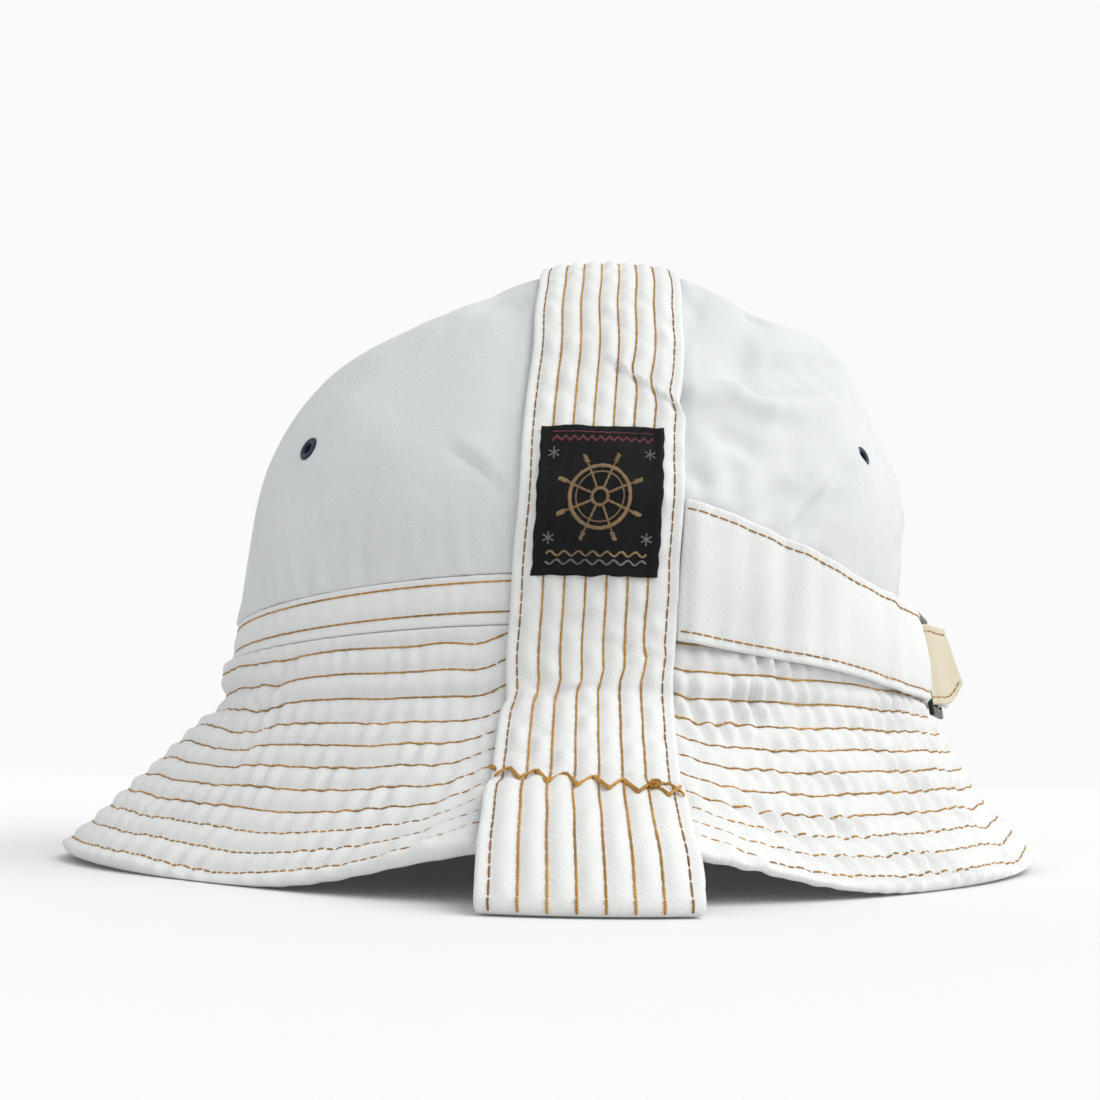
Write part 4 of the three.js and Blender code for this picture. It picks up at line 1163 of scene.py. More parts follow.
class StitchPattern:
    """One stitch, modelled once: a thread with tapered ends along X."""

    def __init__(self, sides=6):
        bpy.ops.object.select_all(action="DESELECT")
        bpy.ops.mesh.primitive_uv_sphere_add(segments=sides, ring_count=5, radius=1)
        piece = bpy.context.active_object
        flat = np.empty(len(piece.data.vertices) * 3)
        piece.data.vertices.foreach_get("co", flat)
        ball = flat.reshape(-1, 3)
        along = ball[:, 2]
        round_part = ball[:, :2] / np.maximum(np.hypot(ball[:, 0], ball[:, 1]), 1e-9)[:, None]
        tip, shoulder = np.abs(along) > 0.95, (np.abs(along) > 0.6) & (np.abs(along) < 0.95)
        reach = np.where(tip, 1, np.where(shoulder, 0.88, 0.45))
        girth = np.where(tip, 0, np.where(shoulder, 0.86, 1))
        self.x = np.sign(along) * reach
        self.y = round_part[:, 0] * girth
        self.z = round_part[:, 1] * girth
        self.faces = [tuple(face.vertices) for face in piece.data.polygons]
        around = np.arctan2(self.z, self.y) / (2 * math.pi)
        self.map = [(self.x[k] * 0.5 + 0.5, around[k]) for face in self.faces for k in face]
        bpy.data.objects.remove(piece)

    def sewn(self, name, starts, ends, normals, thickness, rise=0.00008, sink=0.00010):
        """Copies of the stitch from starts to ends, bowed out of the cloth, as one mesh."""
        centre = (starts + ends) / 2
        half = np.linalg.norm(ends - starts, axis=1)[:, None] / 2
        along = unit(ends - starts)
        side = unit(np.cross(normals, along))
        out = np.cross(along, side)
        bow = rise - (rise + sink) * self.x**2
        radius = thickness / 2
        places = centre[:, None] + along[:, None] * (self.x * half)[..., None]
        places = places + side[:, None] * (radius * self.y)[None, :, None]
        places = places + out[:, None] * (radius * self.z + bow)[None, :, None]
        count = len(self.x)
        faces = [tuple(v + n * count for v in face) for n in range(len(starts)) for face in self.faces]
        mesh = bpy.data.meshes.new(name)
        mesh.from_pydata(places.reshape(-1, 3).tolist(), [], faces)
        layer = mesh.uv_layers.new(name="Cloth")
        layer.data.foreach_set("uv", np.tile(np.array(self.map), (len(starts), 1)).ravel())
        mesh.update()
        piece = bpy.data.objects.new(name, mesh)
        bpy.context.collection.objects.link(piece)
        select_only(piece)
        face_outward()
        bpy.ops.object.shade_smooth()
        return piece


def stitches_on(line, normals, length, gap, seed):
    """Starts, ends and normals of the stitches along a line on the cloth."""
    run = run_along(line)
    random = np.random.default_rng(seed)
    count = max(int(run[-1] / length), 1)
    marks = np.linspace(0, run[-1], count + 1)
    marks[1:-1] += random.uniform(-0.08, 0.08, count - 1) * length
    gaps = gap * random.uniform(0.6, 1.4, count)
    starts, ends = marks[:-1] + gaps / 2, marks[1:] - gaps / 2
    middles = (starts + ends) / 2
    first, last = placed_along(line, run, starts), placed_along(line, run, ends)
    facing = unit(placed_along(normals, run, middles))
    bulge = ((placed_along(line, run, middles) - (first + last) / 2) * facing).sum(axis=1)
    lift = facing * np.clip(bulge, 0, None)[:, None]
    return first + lift, last + lift, facing


def placed_along(values, run, places):
    """The values at places along a line whose own places are the run."""
    return np.stack([np.interp(places, run, values[:, k]) for k in range(3)], axis=1)


def gathered(parts):
    """Several groups of stitches as one."""
    return tuple(np.concatenate(group) for group in zip(*parts))


def clear_of_strip(cap, stitches):
    """The stitches that the strip doesn't cover."""
    starts, ends, normals = stitches
    middle = (starts + ends) / 2
    clear = np.abs(cap.aside(middle)) > cap.sizes.strip_width / 2 - STRIP_COVER
    return starts[clear], ends[clear], normals[clear]


class Wire:
    """A number that changes over a surface, for use in plain sums."""

    def __init__(self, finish, socket):
        self.finish = finish
        self.socket = socket

    def __add__(self, other):
        return self.finish.math("ADD", self, other)

    __radd__ = __add__

    def __sub__(self, other):
        return self.finish.math("SUBTRACT", self, other)

    def __rsub__(self, other):
        return self.finish.math("SUBTRACT", other, self)

    def __mul__(self, other):
        return self.finish.math("MULTIPLY", self, other)

    __rmul__ = __mul__


class Finish:
    """The nodes of a material, or of the light all round."""

    def __init__(self, owner):
        owner.use_nodes = True
        self.owner = owner
        self.tree = owner.node_tree
        self.tree.nodes.clear()

    def node(self, kind, settings=None, sockets=None):
        """A node of any kind, with its settings and with values or links in its sockets."""
        node = self.tree.nodes.new(kind)
        for key, value in (settings or {}).items():
            setattr(node, key, value)
        for key, value in (sockets or {}).items():
            if isinstance(value, Wire):
                self.tree.links.new(value.socket, node.inputs[key])
            elif isinstance(value, bpy.types.NodeSocket):
                self.tree.links.new(value, node.inputs[key])
            else:
                node.inputs[key].default_value = value
        return node

    def math(self, operation, *values):
        node = self.node("ShaderNodeMath", {"operation": operation}, dict(enumerate(values)))
        return Wire(self, node.outputs[0])

    def sine(self, value):
        return self.math("SINE", value)

    def limited(self, value, low, high):
        """Nothing up to the low value, one past the high one."""
        sockets = {"Value": value, "From Min": low, "From Max": high}
        return Wire(self, self.node("ShaderNodeMapRange", {"clamp": True}, sockets).outputs["Result"])

    def noise(self, vector, scale, detail=2.0):
        sockets = {"Vector": vector, "Scale": scale, "Detail": detail}
        return Wire(self, self.node("ShaderNodeTexNoise", {}, sockets).outputs["Fac"])

    def blend(self, share, first, second):
        """The first colour, and the second in its place by a share."""
        sockets = {"Factor": share, 6: first, 7: second}
        return self.node("ShaderNodeMix", {"data_type": "RGBA"}, sockets).outputs[2]

    def object_place(self):
        return self.node("ShaderNodeTexCoord").outputs["Object"]

    def cloth_place(self):
        vector = self.node("ShaderNodeUVMap", {"uv_map": "Cloth"}).outputs["UV"]
        parts = self.node("ShaderNodeSeparateXYZ", {}, {"Vector": vector})
        return vector, Wire(self, parts.outputs["X"]), Wire(self, parts.outputs["Y"])

    def bump(self, height, distance, strength=1.0):
        sockets = {"Height": height, "Distance": distance, "Strength": strength}
        return self.node("ShaderNodeBump", {}, sockets).outputs["Normal"]

    def shader(self, sockets, through=None):
        """The principled surface, with a share of light let through in a colour where it is given."""
        surface = self.node("ShaderNodeBsdfPrincipled", {}, sockets).outputs["BSDF"]
        if through is not None:
            glow = self.node("ShaderNodeBsdfTranslucent", {}, {"Color": through}).outputs["BSDF"]
            surface = self.node("ShaderNodeMixShader", {}, {0: 0.2, 1: surface, 2: glow}).outputs[0]
        self.node("ShaderNodeOutputMaterial", {}, {"Surface": surface})
        return self.owner


def times(colour, factor):
    """A colour made lighter or darker."""
    return tuple(channel * factor for channel in colour[:3]) + (1,)


def twill_finish(name, colour, slant=1.0, pitch=0.00056, depth=0.00007, end_shade_colour=None, end_shade_from=0.0):
    """Washed cotton twill: slanting wales of paired yarns, soft stains, and a faint slub."""
    finish = Finish(bpy.data.materials.new(name))
    vector, along, across = finish.cloth_place()
    grain = finish.noise(vector, 95.0, 2.0)
    turns = 2 * math.pi * CLOTH_UNIT / pitch
    wales = finish.sine((along + slant * across) * turns * 0.7071 + grain * 3.0)
    floats = finish.sine((slant * across - along) * turns * 0.36 + grain * 5.0)
    weave = wales * 0.7 + floats * 0.3
    slub = finish.noise(vector, 420.0, 3.0)
    stain = finish.noise(finish.object_place(), 26.0, 4.0)
    shade = finish.limited(stain * 0.55 + weave * 0.05 + slub * 0.30, 0.25, 0.65)
    tone = finish.blend(shade, times(colour, 0.90), times(colour, 1.03))
    # Painted shade: past a place along the map the cloth turns darker and warmer
    if end_shade_colour is not None:
        turn = finish.limited(along, end_shade_from - 0.02, end_shade_from + 0.02)
        tone = finish.blend(turn, tone, tuple(end_shade_colour))
    height = weave * 0.6 + slub * 0.5
    return finish.shader({
        "Base Color": tone,
        "Roughness": 0.92,
        "Specular IOR Level": 0.18,
        "Sheen Weight": 0.12,
        "Sheen Roughness": 0.5,
        "Normal": finish.bump(height, depth, 0.9),
    }, tuple(colour))


def thread_finish(name, colour):
    """Plied cotton thread: a twist along each stitch, and lighter and darker lengths."""
    finish = Finish(bpy.data.materials.new(name))
    _, along, around = finish.cloth_place()
    twist = finish.sine(along * 34.0 + around * 2 * math.pi)
    fade = finish.noise(finish.object_place(), 90.0, 3.0)
    # Beside random lighter and darker lengths, the twist paints shade in the grooves between the plies and
    # highlight on their crests
    share = finish.limited(fade * 0.9 + twist * 0.12, 0.30, 0.72)
    tone = finish.blend(share, times(colour, 0.62), times(colour, 1.55))
    return finish.shader({
        "Base Color": tone,
        "Roughness": 0.68,
        "Specular IOR Level": 0.3,
        "Sheen Weight": 0.1,
        "Normal": finish.bump(twist, 0.00005, 0.8),
    })


def label_finish(name, colour):
    """Dense damask ground with fine cross yarns, and a little lint."""
    finish = Finish(bpy.data.materials.new(name))
    vector, along, across = finish.cloth_place()
    grain = finish.noise(vector, 160.0, 2.0)
    yarns = finish.sine(across * (2 * math.pi * CLOTH_UNIT / 0.00042) + grain * 2.0)
    warp = finish.sine(along * (2 * math.pi * CLOTH_UNIT / 0.0005) + grain * 2.0)
    lint = finish.limited(finish.noise(vector, 900.0, 1.0), 0.765, 0.80)
    weave = yarns * 0.6 + warp * 0.4
    worn = finish.limited(grain * 0.8 + weave * 0.1, 0.3, 0.75)
    tone = finish.blend(worn, times(colour, 0.7), times(colour, 2.2))
    tone = finish.blend(lint * 0.35, tone, (0.5, 0.5, 0.48, 1))
    return finish.shader({
        "Base Color": tone,
        "Roughness": 0.82,
        "Specular IOR Level": 0.22,
        "Normal": finish.bump(weave, 0.00006, 0.9),
    })


def metal_finish(name, colour, worn_colour, wear):
    """Lacquered metal, worn through in spots."""
    finish = Finish(bpy.data.materials.new(name))
    place = finish.object_place()
    spots = finish.noise(place, 420.0, 4.0)
    worn = finish.limited(spots, 0.66 - wear, 0.74 - wear)
    scratches = finish.noise(place, 1500.0, 2.0)
    tone = finish.blend(worn, tuple(colour), tuple(worn_colour))
    return finish.shader({
        "Base Color": tone,
        "Metallic": worn * 0.7 + 0.1,
        "Specular IOR Level": 0.25,
        "Roughness": 0.30 + scratches * 0.22,
        "Normal": finish.bump(scratches, 0.00003, 0.5),
    })


def look(context):
    """The sizes and colours set in the scene."""
    return context.scene.cap_sizes, context.scene.cap_colours


class CAP_OT_add_brim(bpy.types.Operator):
    """Add the row-stitched brim"""

    bl_idname = "cap.add_brim"
    bl_label = "Add Brim"

    def execute(self, context):
        sizes, colours = look(context)
        cap = CapShape(sizes)
        brim = cloth("brim_cloth", *brim_sheets(cap))
        finished(brim, twill_finish("brim twill", colours.cotton), "brim_twill", "brim")
        angle = np.linspace(-math.pi, math.pi, 4200)
        rows = []
        for k in range(sizes.brim_rows):
            share = sizes.first_row + k * sizes.row_step + 0 * angle
            share = share + brim_wobble(angle, share)
            line, normals = brim_surface(cap, angle, share)
            gap = ROW_DASH if k >= FIRST_DASHED_ROW else ROW_OVERLAP
            rows.append(clear_of_strip(cap, stitches_on(line, normals, sizes.stitch * 0.85, gap, 100 + k)))
        sewing = StitchPattern().sewn("brim_rows", *gathered(rows), sizes.thread)
        finished(sewing, thread_finish("brim thread", colours.thread), "brim_twill")
        return {"FINISHED"}


class CAP_OT_add_band(bpy.types.Operator):
    """Add the band between the brim and the crown, with its two rows"""

    bl_idname = "cap.add_band"
    bl_label = "Add Band"

    def execute(self, context):
        sizes, colours = look(context)
        cap = CapShape(sizes)
        band = cloth("band_cloth", *band_sheets(cap))
        finished(band, twill_finish("band twill", colours.cotton), "crown_twill", "crown_band")
        angle = np.linspace(-math.pi, math.pi, 4000)
        rows = []
        for k, across in enumerate(BAND_ROWS):
            line, normals = band_surface(cap, angle, across / sizes.band_height + 0 * angle)
            rows.append(clear_of_strip(cap, stitches_on(line, normals, sizes.stitch, OVERLAP, 130 + k)))
        sewing = StitchPattern().sewn("band_rows", *gathered(rows), sizes.thread)
        finished(sewing, thread_finish("band thread", colours.thread), "crown_twill")
        return {"FINISHED"}


def eyelet_spots(cap):
    """Side, end and place of each eyelet, with its axis turned out of the cloth."""
    for side in (1, -1):
        for end in (-1, 1):
            bearing = math.radians(EYELET_ANGLE)
            angle = np.array(end * bearing if side > 0 else math.pi - end * bearing)
            level = cap.level_at_height(angle, EYELET_HEIGHT)
            point, normal = cap.points(angle, level), cap.normals(angle, level)
            turn = Vector((0, 0, 1)).rotation_difference(Vector(normal)).to_matrix().to_4x4()
            yield side, end, Matrix.Translation(Vector(point)) @ turn


def pierced(panel, cap, end):
    """Cut the eyelet holes of one panel."""
    for _, which, place in eyelet_spots(cap):
        if which != end:
            continue
        bpy.ops.object.select_all(action="DESELECT")
        bpy.ops.mesh.primitive_cylinder_add(vertices=32, radius=EYELET_HOLE, depth=DRILL_LENGTH)
        drill = bpy.context.active_object
        drill.data.transform(place)
        select_only(panel)
        hole = panel.modifiers.new("hole", "BOOLEAN")
        hole.operation = "DIFFERENCE"
        hole.solver = "EXACT"
        hole.object = drill
        bpy.ops.object.modifier_apply(modifier="hole")
        bpy.data.objects.remove(drill)


class CAP_OT_add_crown(bpy.types.Operator):
    """Add the crown's front and rear panels"""

    bl_idname = "cap.add_crown"
    bl_label = "Add Crown"

    def execute(self, context):
        sizes, colours = look(context)
        cap = CapShape(sizes)
        # The crown's twill carries the painted grey-blue shade
        twill = twill_finish("crown twill", colours.shaded_crown_cotton)
        for end, node in ((-1, "crown_front"), (1, "crown_rear")):
            panel = cloth(node + "_cloth", *crown_sheets(cap, end))
            pierced(panel, cap, end)
            finished(panel, twill, "crown_twill", node)
        return {"FINISHED"}


class CAP_OT_add_strip(bpy.types.Operator):
    """Add the stitched strip over the crown, with its folded feet and their tacks"""

    bl_idname = "cap.add_strip"
    bl_label = "Add Strip"

    def execute(self, context):
        sizes, colours = look(context)
        cap = CapShape(sizes)
        strip = strip_sheets(cap)
        piece = cloth("strip_cloth", strip["outer"], strip["inner"], strip["lengths"])
        finished(piece, twill_finish("strip twill", colours.cotton, -1.0), "strip_twill", "over_strip")
        pattern = StitchPattern()
        inner, edge = [], []
        for k in range(sizes.strip_lines):
            aside = (k - (sizes.strip_lines - 1) / 2) * sizes.line_step
            line, normals = strip_line(strip, aside)
            outermost = k in (0, sizes.strip_lines - 1)
            gap = EDGE_GAP if outermost else OVERLAP
            (edge if outermost else inner).append(stitches_on(line, normals, sizes.stitch, gap, 150 + k))
        lines = pattern.sewn("strip_lines", *gathered(inner), sizes.thread * 1.08)
        finished(lines, thread_finish("strip thread", times(colours.thread, 1.15)), "strip_twill")
        edges = pattern.sewn("strip_edge_lines", *gathered(edge), sizes.thread * 0.9)
        finished(edges, thread_finish("strip edge thread", colours.edge_thread), "strip_twill")
        tack = pattern.sewn("strip_tacks", *tack_stitches(strip), 0.0006, 0.0003, 0.0001)
        finished(tack, thread_finish("tack thread", times(colours.thread, 1.25)), "strip_twill")
        return {"FINISHED"}


def tack_stitches(strip):
    """Zigzag tacks across the feet, each with a knot at one end and a tangle at the other."""
    parts = []
    random = np.random.default_rng(7)
    for side in (1, -1):
        corners = []
        for k in range(TACK_CORNERS):
            share = k / (TACK_CORNERS - 1)
            aside = (-0.0182 + 0.0362 * share) * side
            zig = TACK_ZIGZAG if k % 2 else -TACK_ZIGZAG
            corners.append((aside, 0.0240 - 0.0036 * share + zig))
        places = [strip_place(strip, side, a, h) for a, h in corners]
        path = np.array([place[0] for place in places])
        facing = np.array([place[1] for place in places])
        for j in range(len(path) - 1):
            for strand in (-0.5, 0.5):
                shift = np.array([0, 0.0003 * strand, 0.0002 * strand])
                line = path[j : j + 2] + shift + facing[j : j + 2] * 0.0003
                parts.append(stitches_on(line, facing[j : j + 2], 0.0026, -0.0005, j))
        for (aside, height), size, turns in TACK_KNOTS:
            middle, out = strip_place(strip, side, aside * side, height)
            heading = random.uniform(0, 2 * math.pi, turns + 1).cumsum() * 0.35
            radius = size * random.uniform(0.55, 1.1, turns + 1)
            loop = np.stack([0 * heading, np.cos(heading) * radius, np.sin(heading) * radius * 0.8], axis=1)
            loop = middle + loop + out * (0.0004 + 0.0008 * random.uniform(0, 1, turns + 1))[:, None]
            for j in range(turns):
                pair = loop[j : j + 2]
                parts.append((pair[:1], pair[1:], out[None, :]))
        tail = [strip_place(strip, side, a * side, h) for a, h in TACK_LOOSE_END]
        line = np.array([place[0] + place[1] * 0.0004 for place in tail])
        parts.append(stitches_on(line, np.array([place[1] for place in tail]), 0.0018, -0.0004, 3))
    return gathered(parts)


def circle(x, y, radius, count):
    """A ring of the label's design, closed."""
    turn = np.linspace(0, 2 * math.pi, count + 1)
    return np.stack([x + radius * np.cos(turn), y + radius * np.sin(turn)], axis=1)


def label_motifs():
    """Strokes of the label's design by yarn: paths from its middle line and foot, and widths."""
    tan, grey, maroon = [], [], []
    hub = (0.0, 0.0178)
    tan.append((circle(*hub, 0.0068, 60), 0.00085))
    tan.append((circle(*hub, 0.0054, 50), 0.00035))
    tan.append((circle(*hub, 0.0018, 20), 0.0007))
    for k in range(8):
        turn = math.radians(45 * k + 22.5)
        heading = np.array([math.cos(turn), math.sin(turn)])
        tan.append((np.array([hub + heading * 0.0022, hub + heading * 0.0064]), 0.00055))
        tan.append((np.array([hub + heading * 0.0072, hub + heading * 0.0084]), 0.00055))
        tan.append((np.array([hub + heading * 0.0084, hub + heading * 0.0101]), 0.00105))
    for row, y in enumerate((0.0033, 0.0053)):
        x = np.linspace(-0.0112, 0.0112, 80)
        wave = y + 0.00055 * np.sin(2 * math.pi * x / 0.0032 + row * math.pi)
        (tan if row else grey).append((np.stack([x, wave], axis=1), 0.0005))
    for x, y in ((-0.0110, 0.0276), (0.0110, 0.0276), (-0.0110, 0.0088), (0.0110, 0.0088)):
        for k in range(3):
            turn = math.radians(60 * k + 30)
            reach = np.array([math.cos(turn), math.sin(turn)]) * 0.00125
            grey.append((np.array([(x, y) - reach, (x, y) + reach]), 0.0004))
    x = np.linspace(-0.0115, 0.0115, 24)
    chevron = 0.0312 + 0.0006 * np.where(np.arange(24) % 2, 1, -1)
    maroon.append((np.stack([x, chevron], axis=1), 0.0006))
    x = np.linspace(-0.0115, 0.0115, 30)
    maroon.append((np.stack([x, 0 * x + 0.0330], axis=1), 0.00035))
    return {"tan": tan, "grey": grey, "maroon": maroon}


def satin(cap, strokes, seed):
    """Short threads across each stroke, side by side, as a woven or embroidered line is made."""
    random = np.random.default_rng(seed)
    low, high = [], []
    for path, width in strokes:
        run = run_along(path)
        count = max(int(run[-1] / 0.00027), 2)
        marks = np.linspace(0, run[-1], count)
        spots = np.stack([np.interp(marks, run, path[:, k]) for k in range(2)], axis=1)
        ahead = unit(np.gradient(spots, axis=0))
        across = np.stack([-ahead[:, 1], ahead[:, 0]], axis=1) + ahead * 0.35
        reach = width / 2 * random.uniform(0.8, 1.2, (count, 1))
        low.append(spots - across * reach)
        high.append(spots + across * reach)
    low, high = np.concatenate(low), np.concatenate(high)
    starts, normals = label_spot(cap, low[:, 0], low[:, 1], 0.00004)
    ends, _ = label_spot(cap, high[:, 0], high[:, 1], 0.00004)
    return starts, ends, normals


class CAP_OT_add_label(bpy.types.Operator):
    """Add the woven label with a ship's wheel, waves and stars"""

    bl_idname = "cap.add_label"
    bl_label = "Add Label"

    def execute(self, context):
        sizes, colours = look(context)
        cap = CapShape(sizes)
        patch = cloth("label_cloth", *label_sheets(cap))
        finished(patch, label_finish("label damask", colours.label), "label_cloth", "label")
        pattern = StitchPattern(5)
        yarns = {"tan": colours.tan_yarn, "grey": colours.grey_yarn, "maroon": colours.maroon_yarn}
        for seed, (yarn, strokes) in enumerate(label_motifs().items()):
            piece = pattern.sewn(f"label_{yarn}_yarn", *satin(cap, strokes, seed), 0.00030, 0.00006, 0.0001)
            finished(piece, thread_finish(f"{yarn} yarn", yarns[yarn]), "label_cloth")
        return {"FINISHED"}


class CAP_OT_add_straps(bpy.types.Operator):
    """Add the two halves of the cinch strap with their edge stitching"""

    bl_idname = "cap.add_straps"
    bl_label = "Add Straps"

    def execute(self, context):
        sizes, colours = look(context)
        cap = CapShape(sizes)
        twill = twill_finish("strap twill", colours.cotton, -0.35)
        # The left strap's end is painted darker and warmer as its shade
        tail = {"end_shade_colour": colours.tail_shade_cotton, "end_shade_from": TAIL_SHADE_FROM}
        shade_ended = twill_finish("strap end painted shade twill", colours.cotton, -0.35, **tail)
        rows = []
        for side, node in ((1, "strap_left"), (-1, "strap_right")):
            strap = strap_sheets(cap, side)
            piece = cloth(node + "_cloth", strap["outer"], strap["inner"], strap["lengths"])
            finished(piece, shade_ended if side > 0 else twill, "strip_twill", node)
            for k, top in enumerate((False, True)):
                rows.append(strap_row(strap, top, sizes, 170 + 2 * k + side))
        sewing = StitchPattern().sewn("strap_rows", *gathered(rows), sizes.thread * 0.92)
        finished(sewing, thread_finish("strap thread", colours.thread), "strip_twill")
        return {"FINISHED"}


def strap_row(strap, top, sizes, seed):
    """Stitches along one edge of a strap, on its outer face."""
    line, facing = [], []
    for i in range(1, len(strap["width"]) - 2):
        share = STRAP_ROW_INSET / strap["width"][i]
        share = 1 - share if top else share
        j = int(np.clip(np.searchsorted(strap["across"], share) - 1, 0, len(strap["across"]) - 2))
        part = (share - strap["across"][j]) / (strap["across"][j + 1] - strap["across"][j])
        line.append(strap["outer"][i, j] * (1 - part) + strap["outer"][i, j + 1] * part)
        facing.append(strap["facing"][i, j])
    return stitches_on(np.array(line), np.array(facing), sizes.stitch * 0.95, STRAP_GAP, seed)


class CAP_OT_add_buckle(bpy.types.Operator):
    """Add the slide buckle with its two slots"""

    bl_idname = "cap.add_buckle"
    bl_label = "Add Buckle"

    def execute(self, context):
        sizes, colours = look(context)
        slide = BuckleFrame(CapShape(sizes))
        bpy.ops.object.select_all(action="DESELECT")
        bpy.ops.mesh.primitive_grid_add(x_subdivisions=5, y_subdivisions=3, size=1)
        buckle = bpy.context.active_object
        buckle.name = "buckle_frame"
        half = BUCKLE_PITCH + BUCKLE_BAR / 2
        x = (-half, -half + BUCKLE_BAR, -BUCKLE_BAR / 2, BUCKLE_BAR / 2, half - BUCKLE_BAR, half)
        y = (-BUCKLE_HEIGHT / 2, -BUCKLE_HEIGHT / 2 + BUCKLE_END_BAR, BUCKLE_HEIGHT / 2 - BUCKLE_END_BAR,
             BUCKLE_HEIGHT / 2)
        for vertex in buckle.data.vertices:
            i, j = round((vertex.co.x + 0.5) * 5), round((vertex.co.y + 0.5) * 3)
            vertex.co = (x[i], y[j], 0)
        bpy.ops.object.mode_set(mode="EDIT")
        bpy.ops.mesh.select_mode(type="FACE")
        bpy.ops.object.mode_set(mode="OBJECT")
        for face in buckle.data.polygons:
            inside = abs(face.center.y) < BUCKLE_HEIGHT / 4
            face.select = inside and abs(abs(face.center.x) - BUCKLE_PITCH / 2) < BUCKLE_BAR
        bpy.ops.object.mode_set(mode="EDIT")
        bpy.ops.mesh.delete(type="FACE")
        bpy.ops.object.mode_set(mode="OBJECT")
        wall = buckle.modifiers.new("wall", "SOLIDIFY")
        wall.thickness = BUCKLE_THICKNESS
        wall.offset = 0
        bevel = buckle.modifiers.new("edges", "BEVEL")
        bevel.width = BUCKLE_BEVEL
        bevel.segments = 4
        bpy.ops.object.modifier_apply(modifier="wall")
        bpy.ops.object.modifier_apply(modifier="edges")
        basis = Matrix((-slide.across, slide.up, slide.out)).transposed().to_4x4()
        basis.translation = Vector(slide.centre)
        buckle.data.transform(basis)
        bpy.ops.object.shade_smooth_by_angle(angle=math.radians(40))
        metal = metal_finish("gunmetal", colours.gunmetal, colours.brass, 0.07)
        finished(buckle, metal, "buckle_metal", "buckle")
        return {"FINISHED"}


def eyelet_profile():
    """Points round an eyelet's section: distance from its middle and height over the cloth."""
    flange = [(EYELET_HOLE + 0.00095 * math.cos(a), 0.00028 + 0.00052 * math.sin(a))
              for a in np.linspace(-0.25 * math.pi, 1.0 * math.pi, 9)]
    return [(0.0022, -0.0021), (0.0022, 0.0001), *flange, (0.0015, -0.0021)]


class CAP_OT_add_eyelets(bpy.types.Operator):
    """Add the four lacquered eyelets"""

    bl_idname = "cap.add_eyelets"
    bl_label = "Add Eyelets"

    def execute(self, context):
        sizes, colours = look(context)
        cap = CapShape(sizes)
        profile = eyelet_profile()
        bpy.ops.object.select_all(action="DESELECT")
        bpy.ops.mesh.primitive_circle_add(vertices=len(profile), fill_type="NOTHING")
        master = bpy.context.active_object
        for vertex, (out, up) in zip(master.data.vertices, profile):
            vertex.co = (out, 0, up)
        bpy.ops.object.mode_set(mode="EDIT")
        bpy.ops.mesh.select_all(action="SELECT")
        bpy.ops.mesh.spin(steps=32, angle=2 * math.pi, center=(0, 0, 0), axis=(0, 0, 1))
        bpy.ops.object.mode_set(mode="OBJECT")
        face_outward(0.00001)
        bpy.ops.object.shade_smooth_by_angle(angle=math.radians(50))
        metal = metal_finish("navy lacquer", colours.navy, times(colours.navy, 3), 0.0)
        for side, end, place in eyelet_spots(cap):
            eyelet = bpy.data.objects.new("eyelet_copy", master.data.copy())
            context.collection.objects.link(eyelet)
            eyelet.data.transform(place)
            node = f"eyelet_{'left' if side > 0 else 'right'}_{'front' if end < 0 else 'rear'}"
            eyelet.name = node + "_ring"
            finished(eyelet, metal, "eyelet_metal", node)
        bpy.data.objects.remove(master)
        return {"FINISHED"}


class CAP_OT_add_stage(bpy.types.Operator):
    """Add the pale floor, the soft studio light and the camera"""

    bl_idname = "cap.add_stage"
    bl_label = "Add Stage"

    def execute(self, context):
        _, colours = look(context)
        bpy.ops.object.select_all(action="DESELECT")
        bpy.ops.mesh.primitive_plane_add(size=FLOOR_SIZE, location=(0, 0, -FLOOR_DROP))
        floor = context.active_object
        floor.name = "floor"
        paper = Finish(bpy.data.materials.new("pale paper"))
        grain = paper.noise(paper.object_place(), 3.0, 2.0)
        tone = paper.blend(grain, times(colours.floor, 0.995), tuple(colours.floor))
        finish = paper.shader({"Base Color": tone, "Roughness": 0.9, "Specular IOR Level": 0.1})
        floor.data.materials.append(finish)
        context.scene.world = studio_world()
        add_sun("key", KEY_TOWARDS, KEY_ANGLE, KEY_STRENGTH, KEY_COLOUR)
        camera = bpy.data.cameras.new("camera")
        camera.sensor_width = FILM_WIDTH
        camera.sensor_height = FILM_WIDTH
        camera.sensor_fit = "HORIZONTAL"
        camera.lens = FILM_WIDTH * FOCAL_PIXELS / PICTURE_PIXELS
        camera.clip_start = 0.01
        camera.clip_end = 30
        view = bpy.data.objects.new("camera", camera)
        context.scene.collection.objects.link(view)
        heading = Matrix.Rotation(math.radians(90), 4, "Z")
        pitch = Matrix.Rotation(math.radians(CAMERA_PITCH), 4, "X")
        roll = Matrix.Rotation(math.radians(CAMERA_ROLL), 4, "Z")
        view.matrix_world = Matrix.Translation(CAMERA_PLACE) @ heading @ pitch @ roll
        context.scene.camera = view
        context.scene.view_settings.view_transform = "Standard"
        context.scene.view_settings.look = "None"
        return {"FINISHED"}


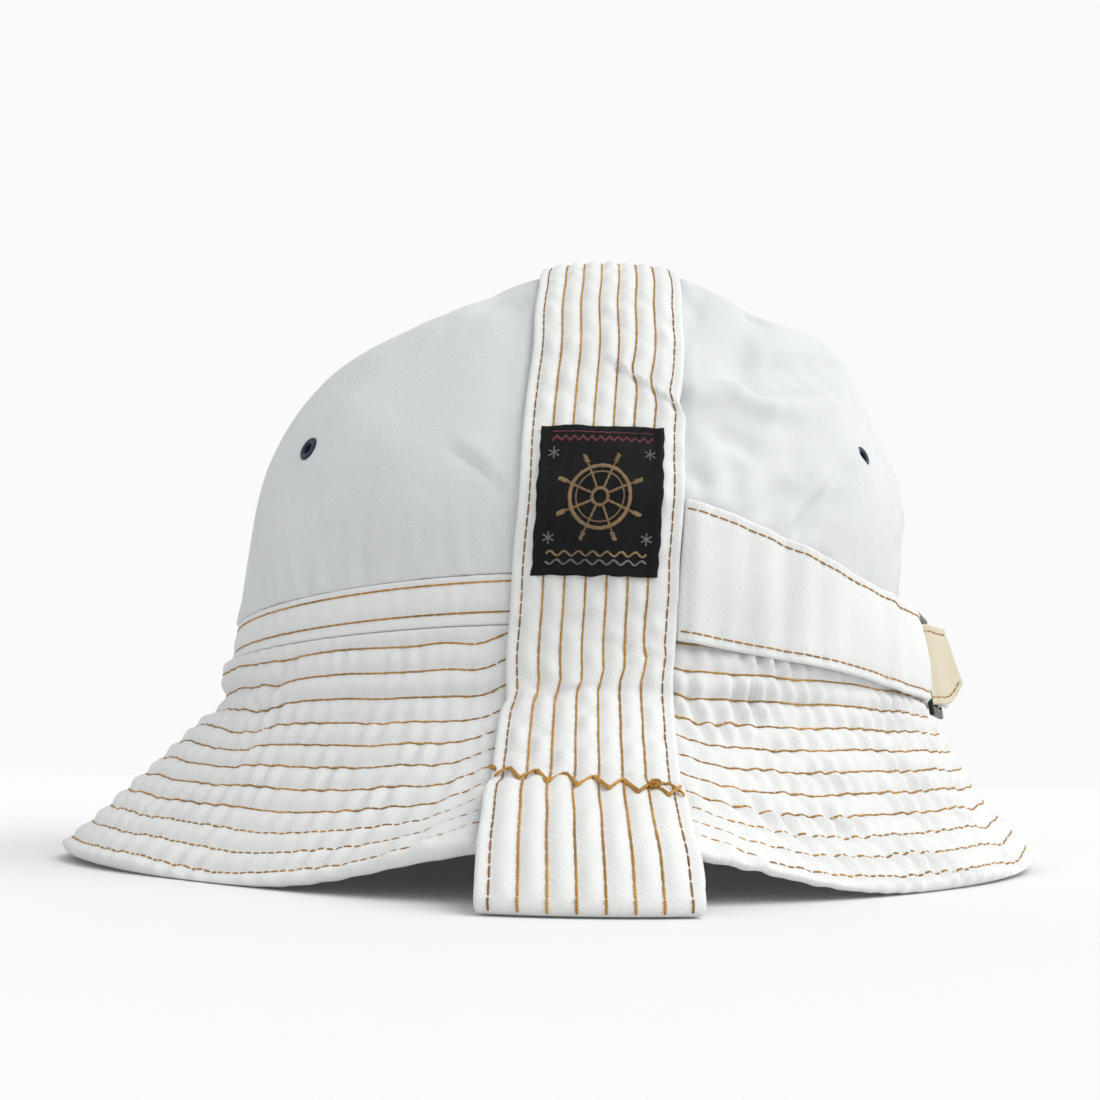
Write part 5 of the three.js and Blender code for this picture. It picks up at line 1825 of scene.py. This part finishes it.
def studio_world():
    """Soft light all round: brightest behind the cap and near the floor, greyest overhead."""
    world = bpy.data.worlds.new("studio")
    sky = Finish(world)
    direction = sky.node("ShaderNodeTexCoord").outputs["Generated"]
    parts = sky.node("ShaderNodeSeparateXYZ", {}, {"Vector": direction})
    x, y, z = (Wire(sky, parts.outputs[axis]) for axis in "XYZ")
    side = sky.limited(y * 0.5 - x * 0.5, -0.6, 0.6)
    tone = sky.blend(side, *SKY_SIDES)
    tone = sky.blend(sky.limited(z, 0.45, 1.0), tone, SKY_OVERHEAD)
    tone = sky.blend(sky.limited(z, 0.0, 0.3), SKY_LOW, tone)
    tone = sky.blend(sky.limited(x, -0.65, -0.3), SKY_BEHIND, tone)
    glow = sky.node("ShaderNodeBackground", {}, {"Color": tone, "Strength": 1.0})
    sky.node("ShaderNodeOutputWorld", {}, {"Surface": glow.outputs[0]})
    return world


def add_sun(name, towards, angle, strength, colour):
    """A sun seen from the cap in a direction, with the angle in degrees that it fills."""
    light = bpy.data.lights.new(name, "SUN")
    light.angle = math.radians(angle)
    light.energy = strength
    light.color = colour
    lamp = bpy.data.objects.new(name, light)
    bpy.context.scene.collection.objects.link(lamp)
    lamp.matrix_world = Vector(towards).to_track_quat("Z", "Y").to_matrix().to_4x4()


class CAP_PT_panel(bpy.types.Panel):
    """The cap's operators, sizes and colours"""

    bl_idname = "CAP_PT_panel"
    bl_label = "Sailor Cap"
    bl_space_type = "VIEW_3D"
    bl_region_type = "UI"
    bl_category = "Cap"

    def draw(self, context):
        layout = self.layout
        for operator in OPERATORS:
            layout.operator(operator.bl_idname)
        for group in look(context):
            box = layout.box()
            for name in group.__annotations__:
                box.prop(group, name)


OPERATORS = (
    CAP_OT_add_brim,
    CAP_OT_add_band,
    CAP_OT_add_crown,
    CAP_OT_add_strip,
    CAP_OT_add_label,
    CAP_OT_add_straps,
    CAP_OT_add_buckle,
    CAP_OT_add_eyelets,
    CAP_OT_add_stage,
)
CLASSES = (CapSizes, CapColours, *OPERATORS, CAP_PT_panel)


def register():
    for each in CLASSES:
        bpy.utils.register_class(each)
    bpy.types.Scene.cap_sizes = PointerProperty(type=CapSizes)
    bpy.types.Scene.cap_colours = PointerProperty(type=CapColours)


def unregister():
    del bpy.types.Scene.cap_colours
    del bpy.types.Scene.cap_sizes
    for each in reversed(CLASSES):
        bpy.utils.unregister_class(each)


def main():
    register()
    bpy.ops.cap.add_brim()
    bpy.ops.cap.add_band()
    bpy.ops.cap.add_crown()
    bpy.ops.cap.add_strip()
    bpy.ops.cap.add_label()
    bpy.ops.cap.add_straps()
    bpy.ops.cap.add_buckle()
    bpy.ops.cap.add_eyelets()
    bpy.ops.cap.add_stage()


if __name__ == "__main__":
    main()
